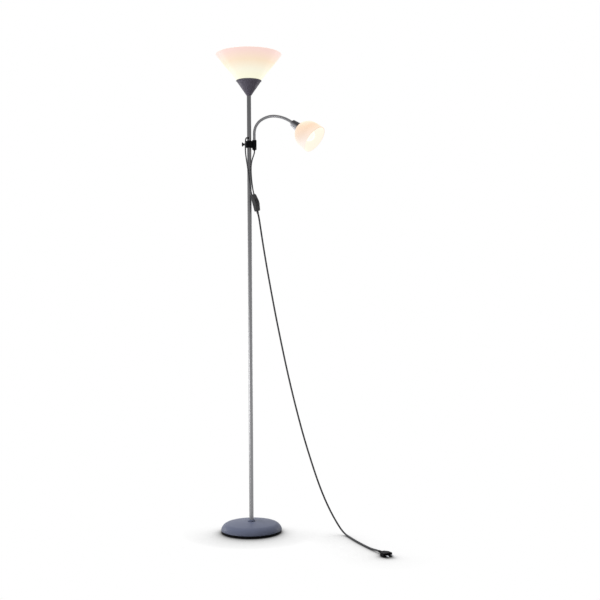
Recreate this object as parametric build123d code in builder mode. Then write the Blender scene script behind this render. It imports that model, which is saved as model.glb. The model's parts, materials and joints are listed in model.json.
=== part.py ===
from build123d import *
import math
import os

os.makedirs("parts", exist_ok=True)

# Torchiere floor lamp with a reading light on a gooseneck. Millimetres, +Z up.
# The origin is the middle of the base's underside, on the floor. The pole stands on the Z axis, the
# reading light reaches towards +X and the lamp is seen from -Y.

# --- Clearances ---------------------------------------------------------------------------------
seat_gap = 0.05  # radial, a round piece fixed in its seat
run_gap = 0.08  # radial, a round piece that turns or slides on another
loose_gap = 0.3  # between pieces that only pass each other
skin_gap = 0.2  # radial, under a moulded or pressed edge

# --- Base ---------------------------------------------------------------------------------------
base_radius = 115.0
base_height = 41.0
base_wall = 1.5
shoulder_radius = 30.0
edge_rise = 0.5  # straight edge of the dome above the cover
pad_inset = 9.0  # inside the dome's edge
pad_thickness = 1.5
pad_proud = 0.5  # felt below the cover's edge
cover_thickness = 4.0
cover_lip_height = 2.5
cover_lip_wall = 3.0
weight_inset = 11.0  # inside the dome's edge
weight_thickness = 16.0
weight_chamfer = 3.0
weight_boss_radius = 16.0
weight_pocket_radius = 13.0
weight_pocket_depth = 12.0
stud_radius = 5.0
stud_above_base = 18.0
stud_below_nut = 1.5
foot_nut_flats = 16.0
foot_nut_height = 8.0
foot_nut_flange_radius = 11.0
foot_nut_flange = 1.5
collar_radius = 14.5
collar_height = 6.5
collar_top_radius = 11.5

# --- Pole ---------------------------------------------------------------------------------------
pole_radius = 8.0
pole_wall = 1.2
section_length = 401.0
section_count = 4
seam_chamfer = 0.3
insert_length = 24.0
coupler_length = 56.0
coupler_bore = 4.2
nipple_bore = 3.6
nipple_below = 16.0

# --- Uplight ------------------------------------------------------------------------------------
cup_foot_radius = 8.3
cup_rim_radius = 47.5
cup_height = 57.0
cup_wall = 1.2
cup_floor = 1.5
cup_bead = 0.8
cup_nut_flats = 12.0
cup_nut_height = 4.0
shade_rim_radius = 125.0
shade_rise = 99.0  # from the cup's rim to the shade's rim
shade_depth = 20.0  # from the cup's rim down to the shade's floor
shade_wall = 2.5
holder_radius = 19.2
holder_foot_radius = 9.5
holder_foot_height = 16.0
holder_height = 41.0
holder_flange_radius = 23.0
holder_flange = 2.5
holder_thread_depth = 9.0
holder_seat_wall = 2.0  # round the stud, at the foot of the socket
socket_floor = 3.0
sleeve_wall = 0.8
sleeve_drop = 1.0  # below the bulb's cap
ring_wall = 5.6
ring_height = 7.0
bulb_cap_radius = 13.2
bulb_cap_height = 25.0
bulb_radius = 30.0
bulb_length = 82.0  # glass alone
bulb_wall = 1.0

# --- Leads --------------------------------------------------------------------------------------
branch_lead_radius = 2.4  # uplight and reading lead
main_lead_radius = 3.25
neck_wire_radius = 1.8
grommet_drop = 160.0  # from the pole's top to the grommet's middle
grommet_heading = -120.0  # degrees about Z, the side of the pole it faces
grommet_hole_radius = 3.2
grommet_radius = 4.3
grommet_reach = 11.5  # from the pole's axis to its outer face
flex_offset = 1.0  # the inner flex hangs this far behind the pole's axis
flex_turn = 5.5
lead_run_in = 9.0  # a lead's straight run at a relief
floor_gap = 0.1  # under the lead and the plug's flat side

# --- Clamp --------------------------------------------------------------------------------------
clamp_drop = 11.5  # from the grommet's middle to the clamp's top
clamp_height = 23.5
clamp_radius = 15.5
liner_wall = 1.82
liner_flange = 1.2
liner_flange_radius = 11.0
liner_slit = 2.5
holder_offset = 19.6  # from the pole's axis to the arm holder's
arm_holder_radius = 8.25
arm_holder_above = 3.5
arm_holder_below = 9.3
clamp_web_width = 11.0
clamp_boss_radius = 5.5
clamp_boss_reach = 17.2
insert_radius = 4.2
knob_screw_radius = 2.5
knob_start = 17.8
knob_reach = 27.5
knob_stem_radius = 3.4
knob_stem_length = 2.0
knob_radius = 7.8
knob_edge = 1.7  # height of the knob's fluted edge
knob_round = 0.8
knob_flutes = 10
knob_flute_radius = 1.5
screw_in_knob = 5.5
outlet_radius = 4.5
outlet_depth = 6.0
outlet_reach = 3.0
outlet_lip = 0.8  # wall at the outlet's tip
outlet_step = 0.6
ferrule_wall = 1.45
ferrule_depth = 18.0
ferrule_flange = 1.5

# --- Gooseneck ----------------------------------------------------------------------------------
neck_radius = 5.25
neck_root_radius = 4.6
neck_bore = 2.3
bore_step = 5.0
neck_heading = -27.0  # degrees about Z, the way the neck reaches
neck_straight = 25.7  # above the arm holder
neck_bend_radii = (53.7, 98.2, 159.0)
neck_bend_turns = (62.6, 35.6, 29.0)  # degrees
neck_foot_depth = 17.0  # inside the arm holder
neck_tail = 5.0  # inside the head's cap
rib_pitch = 3.1
link_ball = 4.2
link_gap = 2.0  # below a ball, so that the next link can tilt
link_rim = 0.2
link_clear = 0.15
first_link = 22.0  # from the arm holder's top to the first ball
last_link = 14.0  # from the last ball to the head's cap
link_count = 7

# --- Reading head, measured along its own axis from the cap's back --------------------------------
cap_back_radius = 12.5
cap_front_radius = 17.0
cap_length = 34.0
cap_wall = 1.0
cap_round = 2.5
head_ferrule_wall = 1.25
head_ferrule_flange_radius = 8.0
head_ferrule_behind = 3.0
head_ferrule_inside = 6.0
head_length = 115.0
head_arc_radius = 60.0
head_arc_beyond = 8.0  # the arc's centre lies this far beyond the axis
head_flare = 2.5  # degrees, the skirt's slope
head_wall = 2.0
head_holder_start = 8.0
head_holder_end = 52.0
head_holder_radius = 12.2
head_holder_back_radius = 11.0
head_holder_flange_radius = 14.5
head_holder_flange = 2.2
head_holder_shoulder = 2.0  # the taper under the flange
head_socket_radius = 7.6
head_socket_depth = 21.5
head_ring_wall = 3.9
head_ring_height = 6.0
small_cap_radius = 7.0
small_cap_height = 21.0
small_bulb_radius = 22.5
small_bulb_length = 55.5

# --- Switch on the leads --------------------------------------------------------------------------
switch_offset = (22.0, -21.0)  # from the pole's axis
switch_drop = 246.0  # from the grommet's middle to the switch's
switch_lean = 14.5  # degrees from upright, towards +X at its foot
switch_facing = 48.0  # degrees, how far its face turns from -Y towards +X
switch_length = 64.0
switch_width = 21.0
switch_back = 5.5
switch_end_height = 5.2
switch_crown = 12.0
switch_crown_length = 10.0
switch_wall = 1.8
switch_corner = 3.0
rocker_length = 26.4
rocker_width = 6.2
rocker_spacing = 8.4
rocker_pivot = 7.6  # above the parting plane
rocker_end_height = 4.3  # above the pivot
rocker_roof = 1.7
rocker_depth = 3.0
rocker_foot_length = 10.0
rocker_tilt = 7.0
rocker_pin_radius = 1.25
rocker_end_angle = 9.0  # degrees, on the arc of its end
inlet_spacing = 12.0
inlet_radius = 3.0
inlet_reach = 4.0
inlet_lip = 0.3  # wall at an inlet's tip
outlet_relief_radius = 4.6
outlet_relief_reach = 10.0
outlet_relief_lip = 0.6
relief_root = 3.0  # a relief's length inside the housing
switch_screw_radius = 1.4
switch_screw_head_radius = 2.4
switch_screw_head = 1.4
switch_screw_grip = 2.5  # in the front half
switch_screw_wall = 1.2
switch_screw_place = 24.5
switch_back_round = 1.5
terminal_size = (4.6, 9.0, 3.2)
terminal_place = (5.2, 15.0)

# --- Plug -----------------------------------------------------------------------------------------
plug_tail = (455.0, -325.0)
plug_heading = -63.5  # degrees about Z
plug_length = 37.0
plug_width = 35.3
plug_back_width = 14.0
plug_shoulder = 14.0
plug_thickness = 13.7
plug_relief_length = 22.0
plug_relief_radius = 5.6
plug_lift = 0.3
plug_relief_lip = 0.7
plug_relief_root = 3.0  # a relief's length inside the body
plug_corner = 2.5
plug_round = 1.8
pin_radius = 2.0
pin_length = 19.0
pin_spacing = 18.6
pin_root = 12.0

# --- Places that follow from the sizes ------------------------------------------------------------
cover_top = pad_proud + cover_thickness
pad_radius = base_radius - pad_inset
weight_radius = base_radius - weight_inset
shoulder_z = cover_top + edge_rise
crown_tilt = 2 * math.atan2(base_height - shoulder_z - shoulder_radius, base_radius - shoulder_radius)
crown_radius = shoulder_radius + (base_radius - shoulder_radius) / math.sin(crown_tilt)
hole_gap = 0.3
stud_hole = stud_radius + hole_gap
pole_bore = pole_radius - pole_wall
pole_foot = base_height
pole_top = pole_foot + section_count * section_length
cup_top = pole_top + cup_height
grommet_z = pole_top - grommet_drop
cup_slope = (cup_rim_radius - cup_foot_radius) / cup_height
cup_skin = cup_wall * math.hypot(1, cup_slope)
shade_neck_radius = cup_rim_radius - cup_skin - loose_gap
shade_slope = (shade_rim_radius - shade_neck_radius) / shade_rise
shade_skin = shade_wall * math.hypot(1, shade_slope)
shade_floor = cup_top - shade_depth
holder_foot = pole_top + cup_floor + cup_nut_height + loose_gap
socket_radius = bulb_cap_radius + loose_gap + sleeve_wall + seat_gap
bulb_foot = holder_foot + holder_thread_depth + socket_floor + 2 * sleeve_drop
clamp_top = grommet_z - clamp_drop
clamp_bottom = clamp_top - clamp_height
clamp_middle = (clamp_top + clamp_bottom) / 2
liner_bore = pole_radius + run_gap
liner_radius = liner_bore + liner_wall
clamp_bore = liner_radius + run_gap
arm_holder_top = clamp_top + arm_holder_above
arm_holder_bottom = clamp_bottom - arm_holder_below
ferrule_bore = neck_radius + seat_gap
ferrule_radius = ferrule_bore + ferrule_wall
head_ferrule_bore = neck_radius + seat_gap
head_ferrule_radius = head_ferrule_bore + head_ferrule_wall
outlet_tip = arm_holder_bottom - outlet_reach


def section_of(place):
    """The plane through a turned piece's axis: x is the radius and y runs along the axis."""
    return Plane(place.origin, x_dir=place.x_dir, z_dir=place.x_dir.cross(place.z_dir))


def turned(place, points, mode=Mode.ADD):
    """A turned piece from (radius, height) points, round the Z axis of place."""
    with BuildSketch(section_of(place)) as outline:
        with BuildLine():
            Polyline(*points, close=True)
        make_face()
    revolve(outline.sketch, axis=Axis(place.origin, place.z_dir), mode=mode)


def tube(place, outer, inner, length, mode=Mode.ADD):
    """A straight tube or rod that stands on place."""
    with BuildSketch(place) as ring:
        Circle(outer)
        if inner > 0:
            Circle(inner, mode=Mode.SUBTRACT)
    extrude(ring.sketch, amount=length, mode=mode)


def finish(piece, name):
    """Names a finished piece and writes it."""
    piece.part.label = name
    export_step(piece.part, f"parts/{name}.step")


def at_height(z):
    return Plane.XY.offset(z)


# === Base =========================================================================================
def dome_outline(inset, floor):
    """Half the dome's outline: a shoulder arc from the upright edge, then a flat crown arc."""
    edge = base_radius - shoulder_radius
    shoulder = shoulder_radius - inset
    crown = crown_radius - inset
    crown_centre = base_height - crown_radius

    def on_shoulder(angle):
        return (edge + shoulder * math.cos(angle), shoulder_z + shoulder * math.sin(angle))

    def on_crown(angle):
        return (crown * math.sin(angle), crown_centre + crown * math.cos(angle))

    join = math.pi / 2 - crown_tilt
    Line((0, floor), (base_radius - inset, floor))
    Line((base_radius - inset, floor), on_shoulder(0))
    ThreePointArc(on_shoulder(0), on_shoulder(join / 2), on_shoulder(join))
    ThreePointArc(on_crown(crown_tilt), on_crown(crown_tilt / 2), on_crown(0))
    Line(on_crown(0), (0, floor))


with BuildPart() as base_shell:
    with BuildSketch(Plane.XZ):
        with BuildLine():
            dome_outline(0, cover_top)
        make_face()
    revolve(axis=Axis.Z)
    with BuildSketch(Plane.XZ):
        with BuildLine():
            dome_outline(base_wall, cover_top - base_wall)
        make_face()
    revolve(axis=Axis.Z, mode=Mode.SUBTRACT)
    tube(at_height(cover_top), stud_hole, 0, base_height, mode=Mode.SUBTRACT)
finish(base_shell, "base_shell")

with BuildPart() as base_pad:
    tube(Plane.XY, pad_radius, 0, pad_thickness)
finish(base_pad, "base_pad")

cover_lip_radius = base_radius - base_wall - skin_gap
with BuildPart() as base_cover:
    tube(at_height(pad_proud), cover_lip_radius, 0, cover_thickness)
    tube(at_height(cover_top), cover_lip_radius, cover_lip_radius - cover_lip_wall, cover_lip_height)
    tube(
        at_height(pad_proud), pad_radius + skin_gap, 0, pad_thickness - pad_proud, mode=Mode.SUBTRACT
    )
finish(base_cover, "base_cover")

with BuildPart() as base_weight:
    boss_top = base_height - base_wall - loose_gap
    tube(at_height(cover_top), weight_radius, 0, weight_thickness)
    chamfer(base_weight.edges().sort_by(Axis.Z)[-1], length=weight_chamfer)
    tube(at_height(cover_top), weight_boss_radius, 0, boss_top - cover_top)
    tube(at_height(cover_top), weight_pocket_radius, 0, weight_pocket_depth, mode=Mode.SUBTRACT)
    tube(at_height(cover_top), stud_hole, 0, base_height, mode=Mode.SUBTRACT)
finish(base_weight, "base_weight")

nut_bottom = cover_top + weight_pocket_depth - foot_nut_height
with BuildPart() as foot_nut:
    with BuildSketch(at_height(nut_bottom)):
        RegularPolygon(foot_nut_flats / 2, 6, major_radius=False)
    extrude(amount=foot_nut_height)
    flange_place = at_height(nut_bottom + foot_nut_height - foot_nut_flange)
    tube(flange_place, foot_nut_flange_radius, 0, foot_nut_flange)
    tube(at_height(nut_bottom), stud_radius + seat_gap, 0, foot_nut_height, mode=Mode.SUBTRACT)
finish(foot_nut, "foot_nut")

with BuildPart() as foot_stud:
    stud_bottom = nut_bottom - stud_below_nut
    tube(at_height(stud_bottom), stud_radius, 0, base_height + stud_above_base - stud_bottom)
    chamfer(foot_stud.edges().filter_by(GeomType.CIRCLE), length=0.6)
finish(foot_stud, "foot_stud")

collar_bore = pole_radius + seat_gap
with BuildPart() as base_collar:
    turned(
        Plane.XY,
        [
            (collar_bore, base_height),
            (collar_radius, base_height),
            (collar_radius, base_height + collar_height * 0.35),
            (collar_top_radius, base_height + collar_height),
            (collar_bore, base_height + collar_height),
        ],
    )
    fillet(base_collar.edges().filter_by(GeomType.CIRCLE).sort_by(Axis.Z)[-1], radius=0.6)
finish(base_collar, "base_collar")

# === Pole =========================================================================================
grommet_out = Vector(1, 0, 0).rotate(Axis.Z, grommet_heading)
grommet_place = Plane(Vector(0, 0, grommet_z), x_dir=(0, 0, 1), z_dir=grommet_out)

for number in range(section_count):
    foot = pole_foot + number * section_length
    with BuildPart() as pole_section:
        tube(at_height(foot), pole_radius, pole_bore, section_length)
        rims = pole_section.edges().filter_by(GeomType.CIRCLE)
        chamfer(
            [e for e in rims if e.radius > pole_bore + pole_wall / 2], length=seam_chamfer
        )
        if foot < grommet_z < foot + section_length:
            tube(grommet_place, grommet_hole_radius, 0, 2 * pole_radius, mode=Mode.SUBTRACT)
    finish(pole_section, f"pole_section_{number + 1}")

with BuildPart() as pole_inserts:
    for start in (pole_foot, pole_top - insert_length):
        tube(at_height(start), pole_bore - seat_gap, stud_radius + seat_gap, insert_length)
finish(pole_inserts, "pole_inserts")

with BuildPart() as pole_couplers:
    for number in range(1, section_count):
        seam = pole_foot + number * section_length
        start = at_height(seam - coupler_length / 2)
        tube(start, pole_bore - seat_gap, coupler_bore, coupler_length)
finish(pole_couplers, "pole_couplers")

with BuildPart() as top_nipple:
    start = at_height(pole_top - nipple_below)
    nipple_top = holder_foot + holder_thread_depth - loose_gap
    tube(start, stud_radius, nipple_bore, nipple_top - (pole_top - nipple_below))
finish(top_nipple, "top_nipple")

# === Uplight ======================================================================================
with BuildPart() as uplight_cup:
    turned(
        Plane.XY,
        [
            (stud_hole, pole_top),
            (cup_foot_radius, pole_top),
            (cup_rim_radius, cup_top - 3 * cup_bead),
            (cup_rim_radius + cup_bead, cup_top - 2 * cup_bead),
            (cup_rim_radius + cup_bead, cup_top),
            (cup_rim_radius - cup_skin, cup_top),
            (cup_foot_radius + cup_slope * cup_floor - cup_skin, pole_top + cup_floor),
            (stud_hole, pole_top + cup_floor),
        ],
    )
finish(uplight_cup, "uplight_cup")

with BuildPart() as cup_nut:
    with BuildSketch(at_height(pole_top + cup_floor)):
        RegularPolygon(cup_nut_flats / 2, 6, major_radius=False)
        Circle(stud_radius + seat_gap, mode=Mode.SUBTRACT)
    extrude(amount=cup_nut_height)
finish(cup_nut, "cup_nut")

with BuildPart() as uplight_shade:
    foot_radius = shade_neck_radius - shade_slope * shade_depth
    turned(
        Plane.XY,
        [
            (holder_radius + skin_gap, shade_floor),
            (foot_radius, shade_floor),
            (shade_rim_radius, cup_top + shade_rise),
            (shade_rim_radius - shade_skin, cup_top + shade_rise),
            (foot_radius - shade_skin + shade_slope * shade_wall, shade_floor + shade_wall),
            (holder_radius + skin_gap, shade_floor + shade_wall),
        ],
    )
    rim = uplight_shade.edges().filter_by(GeomType.CIRCLE).group_by(Axis.Z)[-1]
    fillet(rim, radius=shade_wall * 0.3)
finish(uplight_shade, "uplight_shade")

with BuildPart() as uplight_holder:
    flange_bottom = shade_floor - holder_flange
    turned(
        Plane.XY,
        [
            (stud_radius + seat_gap, holder_foot),
            (holder_foot_radius, holder_foot),
            (holder_radius, holder_foot + holder_foot_height),
            (holder_radius, flange_bottom),
            (holder_flange_radius, flange_bottom),
            (holder_flange_radius, shade_floor),
            (holder_radius, shade_floor),
            (holder_radius, holder_foot + holder_height),
            (socket_radius, holder_foot + holder_height),
            (socket_radius, bulb_foot - 2 * sleeve_drop),
            (stud_radius + holder_seat_wall, holder_foot + holder_thread_depth),
            (stud_radius + seat_gap, holder_foot + holder_thread_depth),
        ],
    )
finish(uplight_holder, "uplight_holder")

with BuildPart() as uplight_sleeve:
    sleeve_inner = bulb_cap_radius + loose_gap
    sleeve_foot = at_height(bulb_foot - sleeve_drop)
    tube(sleeve_foot, sleeve_inner + sleeve_wall, sleeve_inner, bulb_cap_height - 2 * sleeve_drop)
finish(uplight_sleeve, "uplight_sleeve")

with BuildPart() as uplight_ring:
    ring_inner = holder_radius + skin_gap
    tube(at_height(shade_floor + shade_wall), ring_inner + ring_wall, ring_inner, ring_height)
    fillet(uplight_ring.edges().filter_by(GeomType.CIRCLE).sort_by(Axis.Z)[-1], radius=0.8)
finish(uplight_ring, "uplight_ring")


def bulb_cap(place, radius, height):
    """A screw cap with its thread as rings, hollow, with a contact button under it."""
    turns = 4
    pitch = height * 0.6 / turns
    points = [(0, 0), (radius * 0.3, 0), (radius * 0.8, height * 0.16)]
    for turn in range(turns):
        low = height * 0.18 + turn * pitch
        points += [(radius - 0.6, low), (radius, low + pitch / 2)]
    points += [(radius - 0.6, height * 0.8), (radius - 0.6, height)]
    points += [(radius - 1.4, height), (radius - 1.4, height * 0.2), (0, height * 0.2)]
    turned(place, points)


def bulb_outline(neck, globe, length, inset):
    """Half a bulb's outline: a neck that swells into a globe, closed along the axis."""
    centre = length - globe
    side = globe - inset
    foot = 0 if inset == 0 else -inset
    Line((0, foot), (neck - inset, foot))
    Spline((neck - inset, foot), (side, centre), tangents=((0.05, 1), (0, 1)), tangent_scalars=(0.9, 1.1))
    ThreePointArc(
        (side, centre),
        (side * math.sin(math.pi / 4), centre + side * math.cos(math.pi / 4)),
        (0, centre + side),
    )
    Line((0, centre + side), (0, foot))


def bulb_glass(place, neck, globe, length):
    for inset, mode in ((0, Mode.ADD), (bulb_wall, Mode.SUBTRACT)):
        with BuildSketch(section_of(place)) as outline:
            with BuildLine():
                bulb_outline(neck, globe, length, inset)
            make_face()
        revolve(outline.sketch, axis=Axis(place.origin, place.z_dir), mode=mode)


with BuildPart() as uplight_bulb_cap:
    bulb_cap(at_height(bulb_foot), bulb_cap_radius, bulb_cap_height)
finish(uplight_bulb_cap, "uplight_bulb_cap")

with BuildPart() as uplight_bulb:
    bulb_glass(at_height(bulb_foot + bulb_cap_height), bulb_cap_radius, bulb_radius, bulb_length)
finish(uplight_bulb, "uplight_bulb")

# === Inner flex and its grommet ===================================================================
with BuildPart() as pole_grommet:
    tube(grommet_place.offset(pole_radius / 2), grommet_radius, 0, grommet_reach - pole_radius / 2)
    fillet(
        pole_grommet.edges().filter_by(GeomType.CIRCLE).sort_by(Axis(grommet_place.origin, grommet_out))[-1],
        radius=1.4,
    )
    tube(
        at_height(grommet_z - 2 * grommet_radius),
        pole_radius + seat_gap,
        0,
        4 * grommet_radius,
        mode=Mode.SUBTRACT,
    )
    spigot = grommet_hole_radius - seat_gap
    tube(grommet_place.offset(pole_bore - 0.8), spigot, 0, grommet_reach - 2 - pole_bore)
    tube(grommet_place, branch_lead_radius + seat_gap, 0, 2 * grommet_reach, mode=Mode.SUBTRACT)
finish(pole_grommet, "pole_grommet")

with BuildPart() as pole_flex:
    flex_top = holder_foot + holder_thread_depth + 2
    behind = grommet_out * -flex_offset
    turn_start = Vector(0, 0, grommet_z + flex_turn) + behind
    turn_end = Vector(0, 0, grommet_z) + behind + grommet_out * flex_turn
    with BuildLine() as flex_path:
        hanging = Line(Vector(0, 0, flex_top) + behind, turn_start)
        bend = TangentArc(turn_start, turn_end, tangent=(0, 0, -1))
        Line(turn_end, Vector(0, 0, grommet_z) + grommet_out * grommet_reach)
    with BuildSketch(Plane(Vector(0, 0, flex_top) + behind, z_dir=(0, 0, -1))):
        Circle(branch_lead_radius)
    sweep(path=flex_path.line)
finish(pole_flex, "pole_flex")

# === Clamp ========================================================================================
holder_place = Plane((holder_offset, 0, arm_holder_bottom))
knob_place = Plane((0, 0, clamp_middle), x_dir=(0, 0, 1), z_dir=(-1, 0, 0))
liner_end = liner_flange + run_gap

with BuildPart() as clamp_liner:
    bottom = clamp_bottom - liner_end
    tube(at_height(bottom), liner_radius, liner_bore, clamp_height + 2 * liner_end)
    tube(at_height(bottom), liner_flange_radius, liner_bore, liner_flange)
    tube(at_height(clamp_top + run_gap), liner_flange_radius, liner_bore, liner_flange)
    with BuildSketch(at_height(bottom)):
        with Locations((0, liner_radius)):
            Rectangle(liner_slit, 2 * liner_radius)
    extrude(amount=clamp_height + 2 * liner_end, mode=Mode.SUBTRACT)
finish(clamp_liner, "clamp_liner")

with BuildPart() as clamp_body:
    tube(at_height(clamp_bottom), clamp_radius, 0, clamp_height)
    tube(knob_place, clamp_boss_radius, 0, clamp_boss_reach)
    with BuildSketch(at_height(clamp_bottom + 1)):
        with Locations((holder_offset / 2, 0)):
            Rectangle(holder_offset, clamp_web_width)
    extrude(amount=clamp_height - 2)
    tube(holder_place, arm_holder_radius, 0, arm_holder_top - arm_holder_bottom)
    ends = clamp_body.faces().filter_by(Axis.Z).sort_by(Axis.Z)
    fillet(ends[-1].edges(), radius=1.2)
    chamfer(ends[0].edges(), length=1.5)
    tube(at_height(clamp_bottom - 5), clamp_bore, 0, clamp_height + 10, mode=Mode.SUBTRACT)
    tube(knob_place, insert_radius + seat_gap, 0, 2 * clamp_boss_reach, mode=Mode.SUBTRACT)
    tube(holder_place, neck_bore, 0, 2 * clamp_height, mode=Mode.SUBTRACT)
    tube(holder_place, outlet_radius + seat_gap, 0, outlet_depth, mode=Mode.SUBTRACT)
    seat = holder_place.offset(arm_holder_top - arm_holder_bottom - ferrule_depth)
    tube(seat, ferrule_radius + seat_gap, 0, 2 * ferrule_depth, mode=Mode.SUBTRACT)
finish(clamp_body, "clamp_body")

with BuildPart() as clamp_insert:
    start = knob_place.offset(clamp_bore + 1)
    length = clamp_boss_reach - clamp_bore - 1 - seat_gap
    tube(start, insert_radius, knob_screw_radius + seat_gap, length)
finish(clamp_insert, "clamp_insert")

with BuildPart() as knob_screw:
    screw_start = liner_radius + 2 * run_gap
    screw_end = knob_start + screw_in_knob
    tube(knob_place.offset(screw_start), knob_screw_radius, 0, screw_end - screw_start)
    chamfer(knob_screw.edges().filter_by(GeomType.CIRCLE).sort_by(Axis.X)[-1], length=0.5)
finish(knob_screw, "knob_screw")

with BuildPart() as clamp_knob:
    flare = knob_start + knob_stem_length
    turned(
        knob_place,
        [
            (0, knob_start),
            (knob_stem_radius, knob_start),
            (knob_stem_radius, flare),
            (knob_radius, knob_reach - knob_round - knob_edge),
            (knob_radius, knob_reach - knob_round),
            (knob_radius - knob_round, knob_reach),
            (0, knob_reach),
        ],
    )
    with BuildSketch(knob_place.offset(flare)):
        with PolarLocations(knob_radius + 0.6 * knob_flute_radius, knob_flutes):
            Circle(knob_flute_radius)
    extrude(amount=knob_reach, mode=Mode.SUBTRACT)
    tube(
        knob_place.offset(knob_start),
        knob_screw_radius + seat_gap,
        0,
        screw_in_knob + seat_gap,
        mode=Mode.SUBTRACT,
    )
finish(clamp_knob, "clamp_knob")

with BuildPart() as lead_outlet:
    height = outlet_depth - seat_gap
    turned(
        holder_place,
        [
            (neck_wire_radius + seat_gap, -outlet_reach),
            (branch_lead_radius + outlet_lip, -outlet_reach),
            (outlet_radius - outlet_step, 0),
            (outlet_radius, 0),
            (outlet_radius, height),
            (neck_wire_radius + seat_gap, height),
        ],
    )
finish(lead_outlet, "lead_outlet")

with BuildPart() as neck_ferrule:
    tube(seat, ferrule_radius, ferrule_bore, ferrule_depth + ferrule_flange)
    flange_place = holder_place.offset(arm_holder_top - arm_holder_bottom)
    tube(flange_place, ferrule_radius + 1, ferrule_bore, ferrule_flange)
finish(neck_ferrule, "neck_ferrule")

# === Gooseneck ====================================================================================
neck_foot = arm_holder_top - neck_foot_depth
neck_runs = [(neck_foot_depth + neck_straight, None)]
neck_runs += [(radius * math.radians(turn), radius) for radius, turn in zip(neck_bend_radii, neck_bend_turns)]
neck_length = sum(length for length, radius in neck_runs)  # up to the head's cap
neck_side = Vector(0, 1, 0).rotate(Axis.Z, neck_heading)


def neck_place(travel):
    """The plane across the neck, travel millimetres along it: z along the neck, x sideways."""
    reach, rise, climb = 0.0, neck_foot, math.pi / 2
    left = travel
    for length, radius in neck_runs + [(math.inf, None)]:
        step = min(left, length)
        if radius is None:
            reach += step * math.cos(climb)
            rise += step * math.sin(climb)
        else:
            turn = step / radius
            reach += radius * (math.sin(climb) - math.sin(climb - turn))
            rise += radius * (math.cos(climb - turn) - math.cos(climb))
            climb -= turn
        left -= step
        if left <= 0:
            break
    out = Vector(1, 0, 0).rotate(Axis.Z, neck_heading)
    origin = Vector(holder_offset, 0, rise) + out * reach
    return Plane(origin, x_dir=neck_side, z_dir=out * math.cos(climb) + Vector(0, 0, math.sin(climb)))


link_start = neck_foot_depth + first_link
link_pitch = (neck_length - last_link - link_start) / (link_count - 1)
links = [link_start + number * link_pitch for number in range(link_count)]


def ruled(stations, mode=Mode.ADD):
    """A ruled loft through circles across the neck, from (travel, radius) pairs."""
    rings = []
    for travel, radius in stations:
        with BuildSketch(neck_place(travel)) as ring:
            Circle(radius)
        rings.append(ring.sketch)
    loft(rings, ruled=True, mode=mode)


def rib_stations(start, end):
    """A run of ribs: each has four circles, at its root, along its crest and at its root again."""
    ribs = max(1, round((end - start) / rib_pitch))
    pitch = (end - start) / ribs
    stations = []
    for rib in range(ribs):
        foot = start + rib * pitch
        stations += [(foot, neck_root_radius), (foot + 0.22 * pitch, neck_radius)]
        stations += [(foot + 0.68 * pitch, neck_radius), (foot + 0.9 * pitch, neck_root_radius)]
    return stations + [(end, neck_root_radius)]


for number in range(link_count + 1):
    start = 0.0 if number == 0 else links[number - 1] + link_rim
    end = neck_length + neck_tail if number == link_count else links[number] - link_gap
    with BuildPart() as neck_link:
        ruled(rib_stations(start, end))
        if number < link_count:
            with Locations(neck_place(links[number])):
                Sphere(link_ball)
        if number > 0:
            with Locations(neck_place(links[number - 1])):
                Sphere(link_ball + link_clear, mode=Mode.SUBTRACT)
        low, high = start - link_ball, end + 2 * link_ball
        steps = math.ceil((high - low) / bore_step)
        bore = [(low + (high - low) * step / steps, neck_bore) for step in range(steps + 1)]
        ruled(bore, mode=Mode.SUBTRACT)
    finish(neck_link, f"neck_link_{number + 1}")

head_place = neck_place(neck_length)

with BuildPart() as neck_wire:
    wire_start = Vector(holder_offset, 0, outlet_tip)
    arc_ends = [neck_place(sum(n[0] for n in neck_runs[: i + 1])) for i in range(len(neck_runs))]
    with BuildLine() as wire_path:
        Line(wire_start, arc_ends[0].origin)
        for before, after in zip(arc_ends, arc_ends[1:]):
            TangentArc(before.origin, after.origin, tangent=before.z_dir)
        Line(head_place.origin, head_place.offset(head_holder_start - loose_gap).origin)
    with BuildSketch(Plane(wire_start)):
        Circle(neck_wire_radius)
    sweep(path=wire_path.line)
finish(neck_wire, "neck_wire")

# === Reading head =================================================================================
with BuildPart() as head_cap:
    slope = (cap_front_radius - cap_back_radius) / (cap_length - cap_round)
    turned(
        head_place,
        [
            (head_ferrule_radius + seat_gap, 0),
            (cap_back_radius - cap_round, 0),
            (cap_back_radius - cap_round * 0.3, cap_round * 0.3),
            (cap_back_radius, cap_round),
            (cap_front_radius, cap_length),
            (cap_front_radius - cap_wall, cap_length),
            (cap_back_radius - cap_wall, cap_round),
            (cap_back_radius - cap_round, cap_wall),
            (head_ferrule_radius + seat_gap, cap_wall),
        ],
    )
finish(head_cap, "head_cap")

with BuildPart() as head_ferrule:
    start = head_place.offset(-head_ferrule_behind)
    length = head_ferrule_behind + head_ferrule_inside
    tube(start, head_ferrule_radius, head_ferrule_bore, length)
    flange = head_place.offset(-ferrule_flange)
    tube(flange, head_ferrule_flange_radius, head_ferrule_bore, ferrule_flange)
finish(head_ferrule, "head_ferrule")


def bell_outline(inset, start, end):
    """Half the reading shade's outline: one arc from the cap, then a straight flared skirt."""
    arc = head_arc_radius - inset
    centre = cap_length + math.sqrt(head_arc_radius**2 - (cap_front_radius + head_arc_beyond) ** 2)
    flare = math.radians(head_flare)
    begin = math.asin((centre - start) / arc)

    def on_arc(angle):
        return (arc * math.cos(angle) - head_arc_beyond, centre - arc * math.sin(angle))

    skirt = on_arc(flare)
    edge = (skirt[0] + (end - skirt[1]) * math.tan(flare), end)
    Line((0, start), on_arc(begin))
    ThreePointArc(on_arc(begin), on_arc((begin + flare) / 2), skirt)
    Line(skirt, edge)
    Line(edge, (0, end))
    Line((0, end), (0, start))


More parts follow.
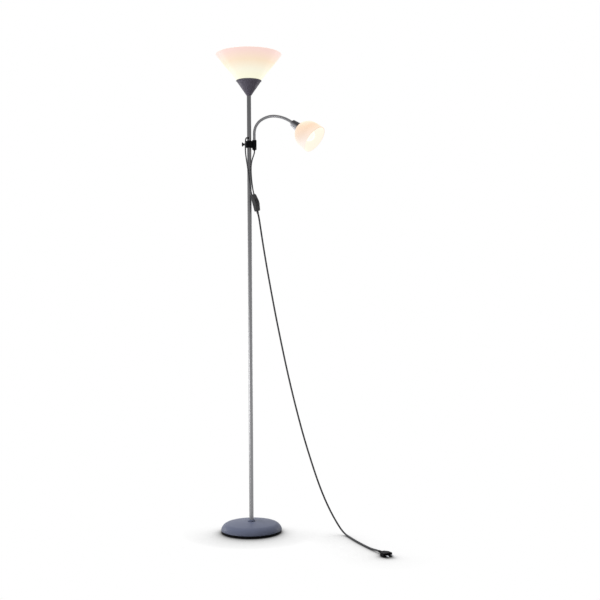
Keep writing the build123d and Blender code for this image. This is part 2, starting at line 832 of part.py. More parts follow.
with BuildPart() as reading_shade:
    head_axis = Axis(head_place.origin, head_place.z_dir)
    with BuildSketch(section_of(head_place)):
        with BuildLine():
            bell_outline(0, cap_length, head_length)
        make_face()
    revolve(axis=head_axis)
    with BuildSketch(section_of(head_place)):
        with BuildLine():
            bell_outline(head_wall, cap_length + head_wall, head_length + head_wall)
        make_face()
    revolve(axis=head_axis, mode=Mode.SUBTRACT)
    tube(head_place, head_holder_radius + skin_gap, 0, head_length, mode=Mode.SUBTRACT)
finish(reading_shade, "reading_shade")

with BuildPart() as reading_holder:
    turned(
        head_place,
        [
            (0, head_holder_start),
            (head_holder_back_radius, head_holder_start),
            (head_holder_back_radius, cap_length - head_holder_flange - head_holder_shoulder),
            (head_holder_flange_radius, cap_length - head_holder_flange),
            (head_holder_flange_radius, cap_length),
            (head_holder_radius, cap_length),
            (head_holder_radius, head_holder_end),
            (head_socket_radius, head_holder_end),
            (head_socket_radius, head_holder_end - head_socket_depth),
            (0, head_holder_end - head_socket_depth),
        ],
    )
finish(reading_holder, "reading_holder")

with BuildPart() as reading_ring:
    ring_inner = head_holder_radius + skin_gap
    start = head_place.offset(cap_length + head_wall)
    tube(start, ring_inner + head_ring_wall, ring_inner, head_ring_height)
finish(reading_ring, "reading_ring")

small_bulb_foot = head_holder_end - head_socket_depth + loose_gap
with BuildPart() as reading_bulb_cap:
    bulb_cap(head_place.offset(small_bulb_foot), small_cap_radius, small_cap_height)
finish(reading_bulb_cap, "reading_bulb_cap")

with BuildPart() as reading_bulb:
    start = head_place.offset(small_bulb_foot + small_cap_height)
    bulb_glass(start, small_cap_radius, small_bulb_radius, small_bulb_length)
finish(reading_bulb, "reading_bulb")

# === Switch =======================================================================================
lean = math.radians(switch_lean)
switch_up = Vector(-math.sin(lean), 0, math.cos(lean))
face_out = Vector(0, -1, 0).rotate(Axis.Z, switch_facing)
switch_face = (face_out - switch_up * face_out.dot(switch_up)).normalized()
switch_middle = Vector(*switch_offset, grommet_z - switch_drop)
switch_place = Plane(switch_middle, x_dir=switch_up.cross(switch_face), z_dir=switch_face)
inlet_places = []
for side in (-1, 1):
    mouth = switch_middle + switch_up * (switch_length / 2) + switch_place.x_dir * (side * inlet_spacing / 2)
    inlet_places.append(Plane(mouth, x_dir=switch_place.x_dir, z_dir=switch_up))
outlet_place = Plane(
    switch_middle - switch_up * (switch_length / 2), x_dir=switch_place.x_dir, z_dir=-switch_up
)
inside_length = switch_length - 2 * switch_wall
inside_width = switch_width - 2 * switch_wall
roof_profile = Plane(switch_middle, x_dir=switch_up, z_dir=switch_place.x_dir)


def roof(length, end_height, crown, crown_length, width, mode=Mode.ADD):
    """The switch's front half seen from the side: low ends that rise to a flat crown."""
    half, flat = length / 2, crown_length / 2
    with BuildSketch(roof_profile) as side:
        with BuildLine():
            Polyline(
                (-half, 0),
                (half, 0),
                (half, end_height),
                (flat, crown),
                (-flat, crown),
                (-half, end_height),
                close=True,
            )
        make_face()
    extrude(side.sketch, amount=width / 2, both=True, mode=mode)


def lead_holes():
    for mouth in inlet_places:
        tube(mouth.offset(-relief_root), inlet_radius + skin_gap, 0, 2 * relief_root, mode=Mode.SUBTRACT)
    tube(
        outlet_place.offset(-relief_root),
        outlet_relief_radius + skin_gap,
        0,
        2 * relief_root,
        mode=Mode.SUBTRACT,
    )


with BuildPart() as switch_back_half:
    with BuildSketch(switch_place):
        RectangleRounded(switch_width, switch_length, switch_corner)
    extrude(amount=-switch_back)
    back_face = switch_back_half.faces().sort_by(Axis(switch_middle, switch_face))[0]
    fillet(back_face.edges(), radius=switch_back_round)
    with BuildSketch(switch_place):
        RectangleRounded(inside_width, inside_length, switch_corner - switch_wall)
    extrude(amount=-(switch_back - switch_wall), mode=Mode.SUBTRACT)
    for side in (-1, 1):
        spot = Plane(switch_middle + switch_up * (side * switch_screw_place), z_dir=-switch_face)
        tube(spot, switch_screw_head_radius + switch_screw_wall, 0, switch_back)
        tube(spot, switch_screw_radius + skin_gap, 0, switch_back, mode=Mode.SUBTRACT)
        sink = spot.offset(switch_back - switch_screw_head - skin_gap)
        tube(sink, switch_screw_head_radius + skin_gap, 0, switch_back, mode=Mode.SUBTRACT)
    lead_holes()
finish(switch_back_half, "switch_back")

window_length = rocker_length + 2 * loose_gap
window_width = rocker_width + 2 * loose_gap
with BuildPart() as switch_front_half:
    roof(switch_length, switch_end_height, switch_crown, switch_crown_length, switch_width)
    corners = switch_front_half.edges().filter_by(Axis(switch_middle, switch_face))
    fillet(corners, radius=switch_corner)
    roof(
        inside_length,
        switch_end_height - switch_wall,
        switch_crown - switch_wall,
        switch_crown_length,
        inside_width,
        mode=Mode.SUBTRACT,
    )
    with BuildSketch(switch_place.offset(switch_wall)):
        with Locations((-rocker_spacing / 2, 0), (rocker_spacing / 2, 0)):
            Rectangle(window_width, window_length)
    extrude(amount=2 * switch_crown, mode=Mode.SUBTRACT)
    slot = 2 * (rocker_pin_radius + seat_gap)
    with BuildSketch(switch_place):
        Rectangle(switch_width - switch_wall, slot)
    extrude(amount=rocker_pivot, mode=Mode.SUBTRACT)
    pin_start = switch_middle + switch_face * rocker_pivot - switch_place.x_dir * ((switch_width - switch_wall) / 2)
    pin_place = Plane(pin_start, x_dir=switch_up, z_dir=switch_place.x_dir)
    tube(pin_place, slot / 2, 0, switch_width - switch_wall, mode=Mode.SUBTRACT)
    for side in (-1, 1):
        spot = Plane(switch_middle + switch_up * (side * switch_screw_place), z_dir=switch_face)
        tube(spot, switch_screw_radius + switch_screw_wall, 0, switch_end_height)
        tube(spot, switch_screw_radius, 0, switch_end_height - switch_wall, mode=Mode.SUBTRACT)
    lead_holes()
finish(switch_front_half, "switch_front")

with BuildPart() as rocker_pin:
    tube(pin_place.offset(seat_gap), rocker_pin_radius, 0, switch_width - switch_wall - 2 * seat_gap)
finish(rocker_pin, "rocker_pin")

for side, name in ((-1, "uplight_rocker"), (1, "reading_rocker")):
    pivot = switch_middle + switch_face * rocker_pivot + switch_place.x_dir * (side * rocker_spacing / 2)
    tilt = switch_face.rotate(Axis(pivot, switch_place.x_dir), rocker_tilt)
    along = switch_up.rotate(Axis(pivot, switch_place.x_dir), rocker_tilt)
    with BuildPart() as rocker:
        half, foot = rocker_length / 2, rocker_foot_length / 2
        reach = math.sqrt(half**2 - rocker_end_height**2)
        end_angle = math.radians(rocker_end_angle)
        with BuildSketch(Plane(pivot, x_dir=along, z_dir=along.cross(tilt))):
            with BuildLine():
                Line((-foot, -rocker_depth), (foot, -rocker_depth))
                Line((foot, -rocker_depth), (half, 0))
                ThreePointArc(
                    (half, 0),
                    (half * math.cos(end_angle), half * math.sin(end_angle)),
                    (reach, rocker_end_height),
                )
                Line((reach, rocker_end_height), (0, rocker_end_height + rocker_roof))
                Line((0, rocker_end_height + rocker_roof), (-reach, rocker_end_height))
                ThreePointArc(
                    (-reach, rocker_end_height),
                    (-half * math.cos(end_angle), half * math.sin(end_angle)),
                    (-half, 0),
                )
                Line((-half, 0), (-foot, -rocker_depth))
            make_face()
            Circle(rocker_pin_radius + seat_gap, mode=Mode.SUBTRACT)
        extrude(amount=rocker_width / 2, both=True)
    finish(rocker, name)

with BuildPart() as switch_screws:
    for side in (-1, 1):
        spot = Plane(switch_middle + switch_up * (side * switch_screw_place), z_dir=-switch_face)
        head = spot.offset(switch_back - switch_screw_head - skin_gap + seat_gap)
        tube(head, switch_screw_head_radius, 0, switch_screw_head)
        tip = spot.offset(-switch_screw_grip)
        tube(tip, switch_screw_radius - seat_gap, 0, switch_screw_grip + switch_back - switch_screw_head)
finish(switch_screws, "switch_screws")

with BuildPart() as switch_terminals:
    width, length, height = terminal_size
    for up_side in (-1, 1):
        for side in (-1, 1):
            spot = (side * terminal_place[0], up_side * terminal_place[1])
            with BuildSketch(switch_place.offset(-(switch_back - switch_wall))):
                with Locations(spot):
                    Rectangle(width, length)
            extrude(amount=height)
finish(switch_terminals, "switch_terminals")

with BuildPart() as switch_reliefs:
    for mouth in inlet_places:
        turned(
            mouth,
            [
                (0, -relief_root),
                (inlet_radius, -relief_root),
                (inlet_radius, 0),
                (branch_lead_radius + inlet_lip, inlet_reach),
                (0, inlet_reach),
            ],
        )
    turned(
        outlet_place,
        [
            (0, -relief_root),
            (outlet_relief_radius, -relief_root),
            (outlet_relief_radius, 0),
            (main_lead_radius + outlet_relief_lip, outlet_relief_reach),
            (0, outlet_relief_reach),
        ],
    )
finish(switch_reliefs, "switch_reliefs")

# === Plug =========================================================================================
plug_out = Vector(1, 0, 0).rotate(Axis.Z, plug_heading)
plug_height = plug_thickness / 2 + plug_lift
plug_start = Vector(*plug_tail, plug_height)
plug_back = plug_start + plug_out * plug_relief_length
plug_flat = Plane(plug_back, x_dir=plug_out, z_dir=(0, 0, 1))
pin_roots = []
for side in (-1, 1):
    root = plug_back + plug_out * (plug_length - pin_root) + plug_flat.y_dir * (side * pin_spacing / 2)
    pin_roots.append(Plane(root, z_dir=plug_out))
with BuildPart() as plug_body:
    with BuildSketch(plug_flat):
        with BuildLine():
            Polyline(
                (0, plug_back_width / 2),
                (plug_shoulder, plug_width / 2),
                (plug_length, plug_width / 2),
                (plug_length, -plug_width / 2),
                (plug_shoulder, -plug_width / 2),
                (0, -plug_back_width / 2),
                close=True,
            )
        make_face()
    extrude(amount=plug_thickness / 2, both=True)
    fillet(plug_body.edges().filter_by(Axis.Z), radius=plug_corner)
    flat_faces = plug_body.faces().filter_by(Axis.Z)
    fillet(flat_faces.edges(), radius=plug_round)
    tail = Plane(plug_start, x_dir=(0, 0, 1), z_dir=plug_out)
    turned(
        tail,
        [
            (0, 0),
            (main_lead_radius + plug_relief_lip, 0),
            (plug_relief_radius, plug_relief_length),
            (plug_relief_radius, plug_relief_length + plug_relief_root),
            (0, plug_relief_length + plug_relief_root),
        ],
    )
    for root in pin_roots:
        tube(root, pin_radius + seat_gap, 0, 2 * pin_root, mode=Mode.SUBTRACT)
finish(plug_body, "plug_body")

with BuildPart() as plug_pins:
    for root in pin_roots:
        tube(root, pin_radius, 0, pin_root + pin_length)
    tips = plug_pins.faces().filter_by(GeomType.PLANE).sort_by(Axis(plug_start, plug_out))[-2:]
    fillet(ShapeList(tips).edges(), radius=pin_radius * 0.6)
finish(plug_pins, "plug_pins")

# === Free leads ===================================================================================
grommet_face = Vector(0, 0, grommet_z) + grommet_out * grommet_reach
lead_outlet_face = Vector(holder_offset, 0, outlet_tip)
outlet_face = outlet_place.offset(outlet_relief_reach)


def hung(x, y, drop):
    """A point of a branch lead, drop millimetres below the grommet."""
    return Vector(x, y, grommet_z - drop)


def falling(x, y, share):
    """A point of the hanging main lead, at a share of the switch outlet's height."""
    return Vector(x, y, share * outlet_face.origin.Z)


def resting(x, y):
    """A point of the main lead where it lies on the floor."""
    return Vector(x, y, main_lead_radius + floor_gap)


uplight_route = [
    grommet_face,
    grommet_face + grommet_out * 6,
    grommet_face + grommet_out * 11.5 + Vector(0, 0, -4),
    grommet_face + grommet_out * 14 + Vector(0, 0, -11.5),
    hung(-12.9, -22.8, 23),
    hung(-13.4, -20.8, 38),
    hung(-13.2, -18.8, 57),
    hung(-10.7, -17.4, 78),
    hung(-7.4, -17.0, 99),
    hung(-4.0, -17.4, 124),
    hung(-0.9, -18.2, 149),
    hung(2.6, -20.2, 173),
    hung(5.4, -22.8, 190),
    inlet_places[0].offset(inlet_reach + lead_run_in).origin,
    inlet_places[0].offset(inlet_reach).origin,
]
reading_route = [
    lead_outlet_face,
    lead_outlet_face - Vector(0, 0, 5.5),
    hung(18.0, -2.0, 61),
    hung(14.2, -5.8, 72),
    hung(10.6, -9.4, 85),
    hung(8.0, -11.8, 99.5),
    hung(6.9, -13.0, 116),
    hung(7.4, -13.4, 137),
    hung(8.9, -13.6, 158),
    hung(11.0, -14.3, 177),
    hung(13.0, -15.3, 191),
    inlet_places[1].offset(inlet_reach + lead_run_in).origin,
    inlet_places[1].offset(inlet_reach).origin,
]
main_route = [
    outlet_face.origin,
    outlet_face.offset(lead_run_in).origin,
    falling(36.6, -21.4, 0.9840),
    falling(39.2, -22.0, 0.9697),
    falling(42.7, -22.7, 0.9497),
    falling(50.2, -24.0, 0.9063),
    falling(64.6, -26.0, 0.8312),
    falling(80.4, -28.2, 0.7561),
    falling(96.7, -30.4, 0.6810),
    falling(114.2, -32.6, 0.6067),
    falling(132.6, -34.8, 0.5316),
    falling(152.2, -37.0, 0.4573),
    falling(174.0, -39.2, 0.3822),
    falling(197.4, -41.3, 0.3071),
    falling(223.6, -43.5, 0.2337),
    falling(251.5, -45.6, 0.1619),
    falling(275.6, -47.2, 0.1102),
    falling(296.5, -48.6, 0.0726),
    falling(316.5, -50.0, 0.0417),
    falling(336.5, -54.0, 0.0150),
    resting(353.0, -70.5),
    resting(364.5, -103.0),
    resting(376.5, -141.0),
    resting(393.5, -188.0),
    resting(411.0, -231.0),
    plug_start - plug_out * 60 - Vector(0, 0, 3.6),
    plug_start - plug_out * 34 - Vector(0, 0, 2),
    plug_start - plug_out * 14,
    plug_start,
]


def lead(route, radius, name):
    """A free lead: straight runs joined by arcs as large as the runs beside them allow."""
    points = [Vector(*point) if isinstance(point, tuple) else point for point in route]
    radii = []
    for before, corner, after in zip(points, points[1:], points[2:]):
        turn = math.radians((corner - before).get_angle(after - corner))
        shorter = min((corner - before).length, (after - corner).length)
        radii.append(0.45 * shorter / math.tan(turn / 2))
    with BuildPart() as piece:
        with BuildLine() as path:
            FilletPolyline(*points, radius=radii)
        with BuildSketch(Plane(points[0], z_dir=points[1] - points[0])):
            Circle(radius)
        sweep(path=path.wire())
    length = path.wire().length
    share = piece.part.volume / (math.pi * radius**2 * length)
    print(f"{name}: {length:.0f} long, volume share {share:.4f}, tightest bend {min(radii):.1f}")
    print("  bends", " ".join(f"{r:.0f}" for r in radii))
    finish(piece, name)


lead(uplight_route, branch_lead_radius, "uplight_lead")
lead(reading_route, branch_lead_radius, "reading_lead")
lead(main_route, main_lead_radius, "main_lead")
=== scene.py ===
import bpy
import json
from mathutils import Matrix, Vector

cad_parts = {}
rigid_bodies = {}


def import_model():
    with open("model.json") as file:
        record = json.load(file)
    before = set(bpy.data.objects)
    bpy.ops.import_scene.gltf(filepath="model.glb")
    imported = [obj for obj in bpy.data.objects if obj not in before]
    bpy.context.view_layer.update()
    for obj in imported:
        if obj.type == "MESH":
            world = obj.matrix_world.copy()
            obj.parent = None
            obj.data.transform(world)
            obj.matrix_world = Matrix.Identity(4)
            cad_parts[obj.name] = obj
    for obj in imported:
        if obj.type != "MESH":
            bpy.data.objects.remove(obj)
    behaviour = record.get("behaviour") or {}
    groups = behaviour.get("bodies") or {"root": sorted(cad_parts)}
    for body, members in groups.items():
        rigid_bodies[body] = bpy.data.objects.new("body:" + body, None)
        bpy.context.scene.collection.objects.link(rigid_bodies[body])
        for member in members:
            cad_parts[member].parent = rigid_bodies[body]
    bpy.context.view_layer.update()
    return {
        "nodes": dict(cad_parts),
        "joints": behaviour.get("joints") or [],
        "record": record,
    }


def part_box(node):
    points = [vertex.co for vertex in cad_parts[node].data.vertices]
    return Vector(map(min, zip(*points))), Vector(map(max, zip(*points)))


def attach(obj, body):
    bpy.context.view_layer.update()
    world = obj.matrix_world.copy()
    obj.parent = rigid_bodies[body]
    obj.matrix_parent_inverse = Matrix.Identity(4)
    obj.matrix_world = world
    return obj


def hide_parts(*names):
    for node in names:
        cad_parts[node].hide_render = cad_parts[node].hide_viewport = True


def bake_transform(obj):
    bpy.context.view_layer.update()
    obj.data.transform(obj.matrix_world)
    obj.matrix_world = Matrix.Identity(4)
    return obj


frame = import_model()

import json
import math

import bpy
import numpy as np
from bpy.props import FloatProperty, FloatVectorProperty, PointerProperty

bl_info = {
    "name": "Torchiere Floor Lamp",
    "version": (1, 0, 0),
    "blender": (4, 5, 0),
    "location": "View3D > Sidebar > Lamp",
    "description": "Dresses the CAD frame of a floor lamp with an uplight and a reading light",
    "category": "Object",
}

MM = 0.001
ORIGIN = np.zeros(3)
UP = np.array([0.0, 0.0, 1.0])
FORWARD = np.array([0.0, -1.0, 0.0])

ROUND = 96  # steps round a turned piece
BEAD_STEPS = 9  # points on a bead or a lip
SHARP = 35.0  # degrees, edges that meet at more stay crisp


def low(node):
    return np.array(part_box(node)[0])


def high(node):
    return np.array(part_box(node)[1])


def joint_place(name):
    """A joint's point and the two bodies that it joins, from the frame."""
    joint = next(j for j in frame["joints"] if j["name"] == name)
    return np.array(joint["pos_m"]), joint["parent"], joint["child"]


def unit(vector):
    vector = np.asarray(vector, float)
    return vector / np.linalg.norm(vector)


# --- What a user may change -------------------------------------------------------------------


def size(name, description, default):
    return FloatProperty(
        name=name, description=description, default=default, unit="LENGTH", precision=4
    )


def colour(name, description, default):
    return FloatVectorProperty(
        name=name, description=description, default=default, subtype="COLOR", size=3, min=0, max=1
    )


class LampSizes(bpy.types.PropertyGroup):
    """Sizes of the lamp's dressed pieces"""

    shoulder: size("Base shoulder", "Radius of the base's rounded shoulder", 30 * MM)
    base_lift: size("Base lift", "How far up its shoulder the dome starts, over the cover", 5 * MM)
    base_wall: size("Base wall", "Thickness of the base's pressed shell", 1.5 * MM)
    cup_wall: size("Cup wall", "Thickness of the uplight's metal cup", 1.2 * MM)
    shade_wall: size("Uplight shade wall", "Thickness of the uplight's shade", 2.5 * MM)
    pole_wall: size("Pole wall", "Thickness of the pole's tube", 1.2 * MM)
    seam: size("Pole seam", "Chamfer where two lengths of the pole meet", 0.3 * MM)
    neck_crest: size("Neck radius", "Radius over the gooseneck's ridges", 5.25 * MM)
    neck_root: size("Neck root", "Radius between the gooseneck's ridges", 4.7 * MM)
    ridge_pitch: size("Ridge pitch", "Distance between the gooseneck's ridges", 3.1 * MM)
    bell_wall: size("Reading shade wall", "Thickness of the reading light's shade", 2 * MM)
    branch_lead: size("Branch lead", "Radius of the leads to the two lights", 2.4 * MM)
    main_lead: size("Main lead", "Radius of the lead to the plug", 3.25 * MM)


class LampColours(bpy.types.PropertyGroup):
    """Colours of the lamp's finishes"""

    slate: colour("Slate paint", "Paint of the base and its collar", (0.100, 0.112, 0.162))
    # Painted light: the cup's paint is the base's slate paint made lighter, standing in for light
    # on its downward-facing cone
    cup: colour("Cup paint", "Paint of the uplight's cup", (0.165, 0.152, 0.195))
    # Painted reflection: the pole's colour runs from a lighter tone low down, standing in for the
    # mirrored floor, to a darker one high up
    pole_high_painted_reflection: colour("Pole, high up", "Pole where it mirrors the wall", (0.125, 0.125, 0.130))
    pole_low_painted_reflection: colour("Pole, low down", "Pole where it mirrors the floor", (0.265, 0.265, 0.272))
    black: colour("Black plastic", "Clamp, plug and holders", (0.004, 0.004, 0.005))
    housing: colour("Switch plastic", "Switch housing", (0.018, 0.018, 0.020))
    lead: colour("Lead sheath", "Sheath of the leads", (0.045, 0.046, 0.050))
    steel: colour("Bright metal", "Gooseneck", (0.19, 0.19, 0.20))
    # Painted reflection: the cap's colour is dark where it faces the room above and pale where it
    # faces the floor
    cap_dark_painted_reflection: colour("Cap, dark side", "Cap where it mirrors the room", (0.055, 0.055, 0.060))
    cap_light_painted_reflection: colour("Cap, light side", "Cap where it mirrors the floor", (0.34, 0.34, 0.36))
    zinc: colour("Zinc plate", "Nuts, screws, joiners and plug pins", (0.42, 0.43, 0.45))
    brass: colour("Brass", "Bulb caps and contacts", (0.60, 0.42, 0.16))
    felt: colour("Felt", "Pad under the base", (0.012, 0.012, 0.014))
    iron: colour("Cast iron", "Weight in the base", (0.035, 0.035, 0.037))
    shade: colour("Shade plastic", "Both shades, unlit", (0.16, 0.15, 0.15))
    glass: colour("Bulb glass", "Both bulbs, unlit", (0.40, 0.39, 0.36))
    bulb_glow: colour("Glow of the bulbs", "Both bulbs, lit", (1.0, 0.96, 0.84))
    foot_glow: colour("Glow at the cup", "Uplight shade beside the bulb", (1.0, 0.985, 0.76))
    low_glow: colour("Glow low down", "Uplight shade a third of the way up", (0.98, 0.94, 0.76))
    middle_glow: colour("Glow in the middle", "Uplight shade halfway up", (0.98, 0.79, 0.58))
    rim_glow: colour("Glow at the rim", "Uplight shade's rim", (0.98, 0.72, 0.65))
    inside_glow: colour("Glow inside", "Both shades' insides", (1.0, 0.93, 0.78))
    bell_warm: colour("Reading shade, warm", "Reading shade over its bulb", (0.80, 0.54, 0.33))
    bell_pale: colour("Reading shade, pale", "Reading shade's lower side", (1.0, 0.88, 0.80))


def colours():
    return bpy.context.scene.lamp_colours


# --- Meshes -----------------------------------------------------------------------------------


def new_piece(name, points, faces, sharp=SHARP):
    """A smooth-shaded mesh object at the origin, from arrays of points and of four-cornered faces.

    Edges between faces that meet at more than sharp degrees stay crisp.
    """
    mesh = bpy.data.meshes.new(name)
    faces = [tuple(dict.fromkeys(face)) for face in np.asarray(faces).tolist()]
    mesh.from_pydata(np.asarray(points, float).tolist(), [], faces)
    mesh.polygons.foreach_set("use_smooth", np.ones(len(mesh.polygons), bool))
    mesh.set_sharp_from_angle(angle=math.radians(sharp))
    mesh.update()
    piece = bpy.data.objects.new(name, mesh)
    bpy.context.scene.collection.objects.link(piece)
    return piece


def grid_faces(rows, columns, close_rows, close_columns):
    """Four-cornered faces of a grid of points, joined end to end where it closes."""
    row = np.arange(rows if close_rows else rows - 1)
    column = np.arange(columns if close_columns else columns - 1)
    row, column = np.meshgrid(row, column, indexing="ij")
    below, right = (row + 1) % rows, (column + 1) % columns
    corners = [(row, column), (row, right), (below, right), (below, column)]
    return np.stack([r * columns + c for r, c in corners], -1).reshape(-1, 4)


def lathe(name, outline, origin=ORIGIN, axis=UP, side=None, closed=True, sharp=SHARP):
    """A turned piece: p(s, t) = origin + axis h(s) + r(s) (side cos t + across sin t).

    outline holds (r, h), and runs so that the piece's wall lies on its left. A closed one is the
    section of a ring. An open one starts and ends on the axis, where its end rings shrink to a
    point.
    """
    outline = np.asarray(outline, float)
    axis = unit(axis)
    side = unit(np.array([1.0, 0, 0]) if side is None else side)
    across = np.cross(axis, side)
    turn = np.linspace(0, 2 * math.pi, ROUND, endpoint=False)
    ring = side * np.cos(turn)[:, None] + across * np.sin(turn)[:, None]
    radii, heights = outline[:, 0, None, None], outline[:, 1, None, None]
    points = np.asarray(origin) + axis * heights + ring * radii
    rows = len(outline)
    faces = grid_faces(rows, ROUND, closed, True)
    points = points.reshape(-1, 3)
    if not closed:
        faces = np.where(faces < ROUND, 0, faces)
        faces = np.where(faces >= (rows - 1) * ROUND, (rows - 1) * ROUND, faces)
        used, faces = np.unique(faces, return_inverse=True)
        points, faces = points[used], faces.reshape(-1, 4)
    return new_piece(name, points, faces, sharp)


def arc(centre, radius, start, end, steps):
    """(r, h) points on an arc: centre + radius (cos a, sin a), a from start to end degrees."""
    angle = np.radians(np.linspace(start, end, steps))
    return np.array(centre) + radius * np.stack([np.cos(angle), np.sin(angle)], -1)


def along(points, tangents, side, radius, name, sharp=60.0):
    """A tube round a line, its ends capped flat.

    p(s, t) = line(s) + radius(s, t) (side cos t + across sin t)
    """
    side = np.broadcast_to(side, points.shape)
    across = np.cross(tangents, side)
    count = radius.shape[1]
    turn = np.linspace(0, 2 * math.pi, count, endpoint=False)
    ring = side[:, None] * np.cos(turn)[:, None] + across[:, None] * np.sin(turn)[:, None]
    body = (points[:, None] + ring * radius[..., None]).reshape(-1, 3)
    faces = grid_faces(len(points), count, False, True)
    ends = np.array([points[0], points[-1]])
    first, last = len(body), len(body) + 1
    spin = np.arange(count)
    after = (spin + 1) % count
    foot = np.stack([np.full(count, first), after, spin, np.full(count, first)], -1)
    rim = (len(points) - 1) * count
    head = np.stack([np.full(count, last), rim + spin, rim + after, np.full(count, last)], -1)
    return new_piece(name, np.vstack([body, ends]), np.vstack([faces, foot, head]), sharp)


# --- Finishes ---------------------------------------------------------------------------------

GRAIN_DETAIL = 3
SMEAR_SCALE = 14  # of the noise that varies the gloss
NOISE_MIDDLE = 0.5
DENT_STRENGTH = 0.4
COAT_ROUGHNESS = 0.2
SHADE_ROUGHNESS, SHADE_SPECULAR = 0.38, 0.15
GLOW_STRENGTH = 0.9
POLE_REFLECTION_FOOT = 0.45  # height where the pole's painted floor reflection starts to give way to its darker painted wall reflection
POLE_REFLECTION_REACH = 1.15


def node_group(name, inputs, outputs):
    """An empty shader node group with (name, type, default) inputs and (name, type) outputs."""
    group = bpy.data.node_groups.new(name, "ShaderNodeTree")
    for label, kind, default in inputs:
        socket = group.interface.new_socket(label, in_out="INPUT", socket_type=kind)
        socket.default_value = default
    for label, kind in outputs:
        group.interface.new_socket(label, in_out="OUTPUT", socket_type=kind)
    return group, group.nodes.new("NodeGroupInput"), group.nodes.new("NodeGroupOutput")


def math_node(tree, operation, second=None):
    node = tree.nodes.new("ShaderNodeMath")
    node.operation = operation
    if second is not None:
        node.inputs[1].default_value = second
    return node


def make_fine_grain():
    """Surface grain: noise, as a height for a bump and as a roughness near Middle."""
    group, given, result = node_group(
        "fine_grain",
        [
            ("Scale", "NodeSocketFloat", 400.0),
            ("Middle", "NodeSocketFloat", 0.4),
            ("Spread", "NodeSocketFloat", 0.1),
        ],
        [("Height", "NodeSocketFloat"), ("Roughness", "NodeSocketFloat")],
    )
    place = group.nodes.new("ShaderNodeTexCoord")
    noise = group.nodes.new("ShaderNodeTexNoise")
    noise.inputs["Detail"].default_value = GRAIN_DETAIL
    smear = group.nodes.new("ShaderNodeTexNoise")
    smear.inputs["Scale"].default_value = SMEAR_SCALE
    spread = math_node(group, "MULTIPLY_ADD")
    centred = math_node(group, "SUBTRACT", NOISE_MIDDLE)
    link = group.links.new
    link(place.outputs["Object"], noise.inputs["Vector"])
    link(place.outputs["Object"], smear.inputs["Vector"])
    link(given.outputs["Scale"], noise.inputs["Scale"])
    link(smear.outputs["Fac"], centred.inputs[0])
    link(centred.outputs[0], spread.inputs[0])
    link(given.outputs["Spread"], spread.inputs[1])
    link(given.outputs["Middle"], spread.inputs[2])
    link(noise.outputs["Fac"], result.inputs["Height"])
    link(spread.outputs[0], result.inputs["Roughness"])
    return group


def make_fade():
    """How far a point lies along Direction from Start: 0 there, 1 after Reach metres."""
    group, given, result = node_group(
        "fade_along",
        [
            ("Start", "NodeSocketVector", (0, 0, 0)),
            ("Direction", "NodeSocketVector", (0, 0, 1)),
            ("Reach", "NodeSocketFloat", 0.1),
        ],
        [("Fade", "NodeSocketFloat")],
    )
    place = group.nodes.new("ShaderNodeTexCoord")
    offset = group.nodes.new("ShaderNodeVectorMath")
    offset.operation = "SUBTRACT"
    project = group.nodes.new("ShaderNodeVectorMath")
    project.operation = "DOT_PRODUCT"
    share = math_node(group, "DIVIDE")
    share.use_clamp = True
    link = group.links.new
    link(place.outputs["Object"], offset.inputs[0])
    link(given.outputs["Start"], offset.inputs[1])
    link(offset.outputs[0], project.inputs[0])
    link(given.outputs["Direction"], project.inputs[1])
    link(project.outputs["Value"], share.inputs[0])
    link(given.outputs["Reach"], share.inputs[1])
    link(share.outputs[0], result.inputs["Fade"])
    return group


GROUP_NAMES = {make_fine_grain: "fine_grain", make_fade: "fade_along"}


def place_group(material, make, **values):
    """The group that make builds, built once, as a node of this material with its own values."""
    group = bpy.data.node_groups.get(GROUP_NAMES[make]) or make()
    node = material.node_tree.nodes.new("ShaderNodeGroup")
    node.node_tree = group
    for label, value in values.items():
        node.inputs[label].default_value = value
    return node


def new_material(name):
    """A material that uses nodes, and its shader."""
    material = bpy.data.materials.new(name)
    material.use_nodes = True
    return material, material.node_tree.nodes["Principled BSDF"]


def finish(
    name,
    shown,
    roughness,
    metallic=0.0,
    coat=0.0,
    grain=400.0,
    bump=0.02,
    spread=0.12,
    specular=0.5,
):
    """A painted, moulded or plated surface: one colour, with grain in its gloss and its normal.

    grain is the scale of its noise, bump its depth in millimetres.
    """
    if name in bpy.data.materials:
        return bpy.data.materials[name]
    material, shader = new_material(name)
    shader.inputs["Base Color"].default_value = (*shown, 1)
    shader.inputs["Metallic"].default_value = metallic
    shader.inputs["Coat Weight"].default_value = coat
    shader.inputs["Coat Roughness"].default_value = COAT_ROUGHNESS
    shader.inputs["Specular IOR Level"].default_value = specular
    surface = place_group(material, make_fine_grain, Scale=grain, Middle=roughness, Spread=spread)
    dent = material.node_tree.nodes.new("ShaderNodeBump")
    dent.inputs["Strength"].default_value = DENT_STRENGTH
    dent.inputs["Distance"].default_value = bump * MM
    link = material.node_tree.links.new
    link(surface.outputs["Height"], dent.inputs["Height"])
    link(dent.outputs["Normal"], shader.inputs["Normal"])
    link(surface.outputs["Roughness"], shader.inputs["Roughness"])
    return material


def fade_colour(material, socket, start, direction, reach, stops):
    """Runs a socket's colour through stops, (share, colour) pairs, from start along direction."""
    fade = place_group(material, make_fade, Start=start, Direction=direction, Reach=reach)
    ramp = material.node_tree.nodes.new("ShaderNodeValToRGB")
    while len(ramp.color_ramp.elements) < len(stops):
        ramp.color_ramp.elements.new(0.5)
    for element, (position, shown) in zip(ramp.color_ramp.elements, stops):
        element.position = position
        element.color = (*shown, 1)
    link = material.node_tree.links.new
    link(fade.outputs["Fade"], ramp.inputs["Fac"])
    link(ramp.outputs["Color"], material.node_tree.nodes["Principled BSDF"].inputs[socket])
    return material


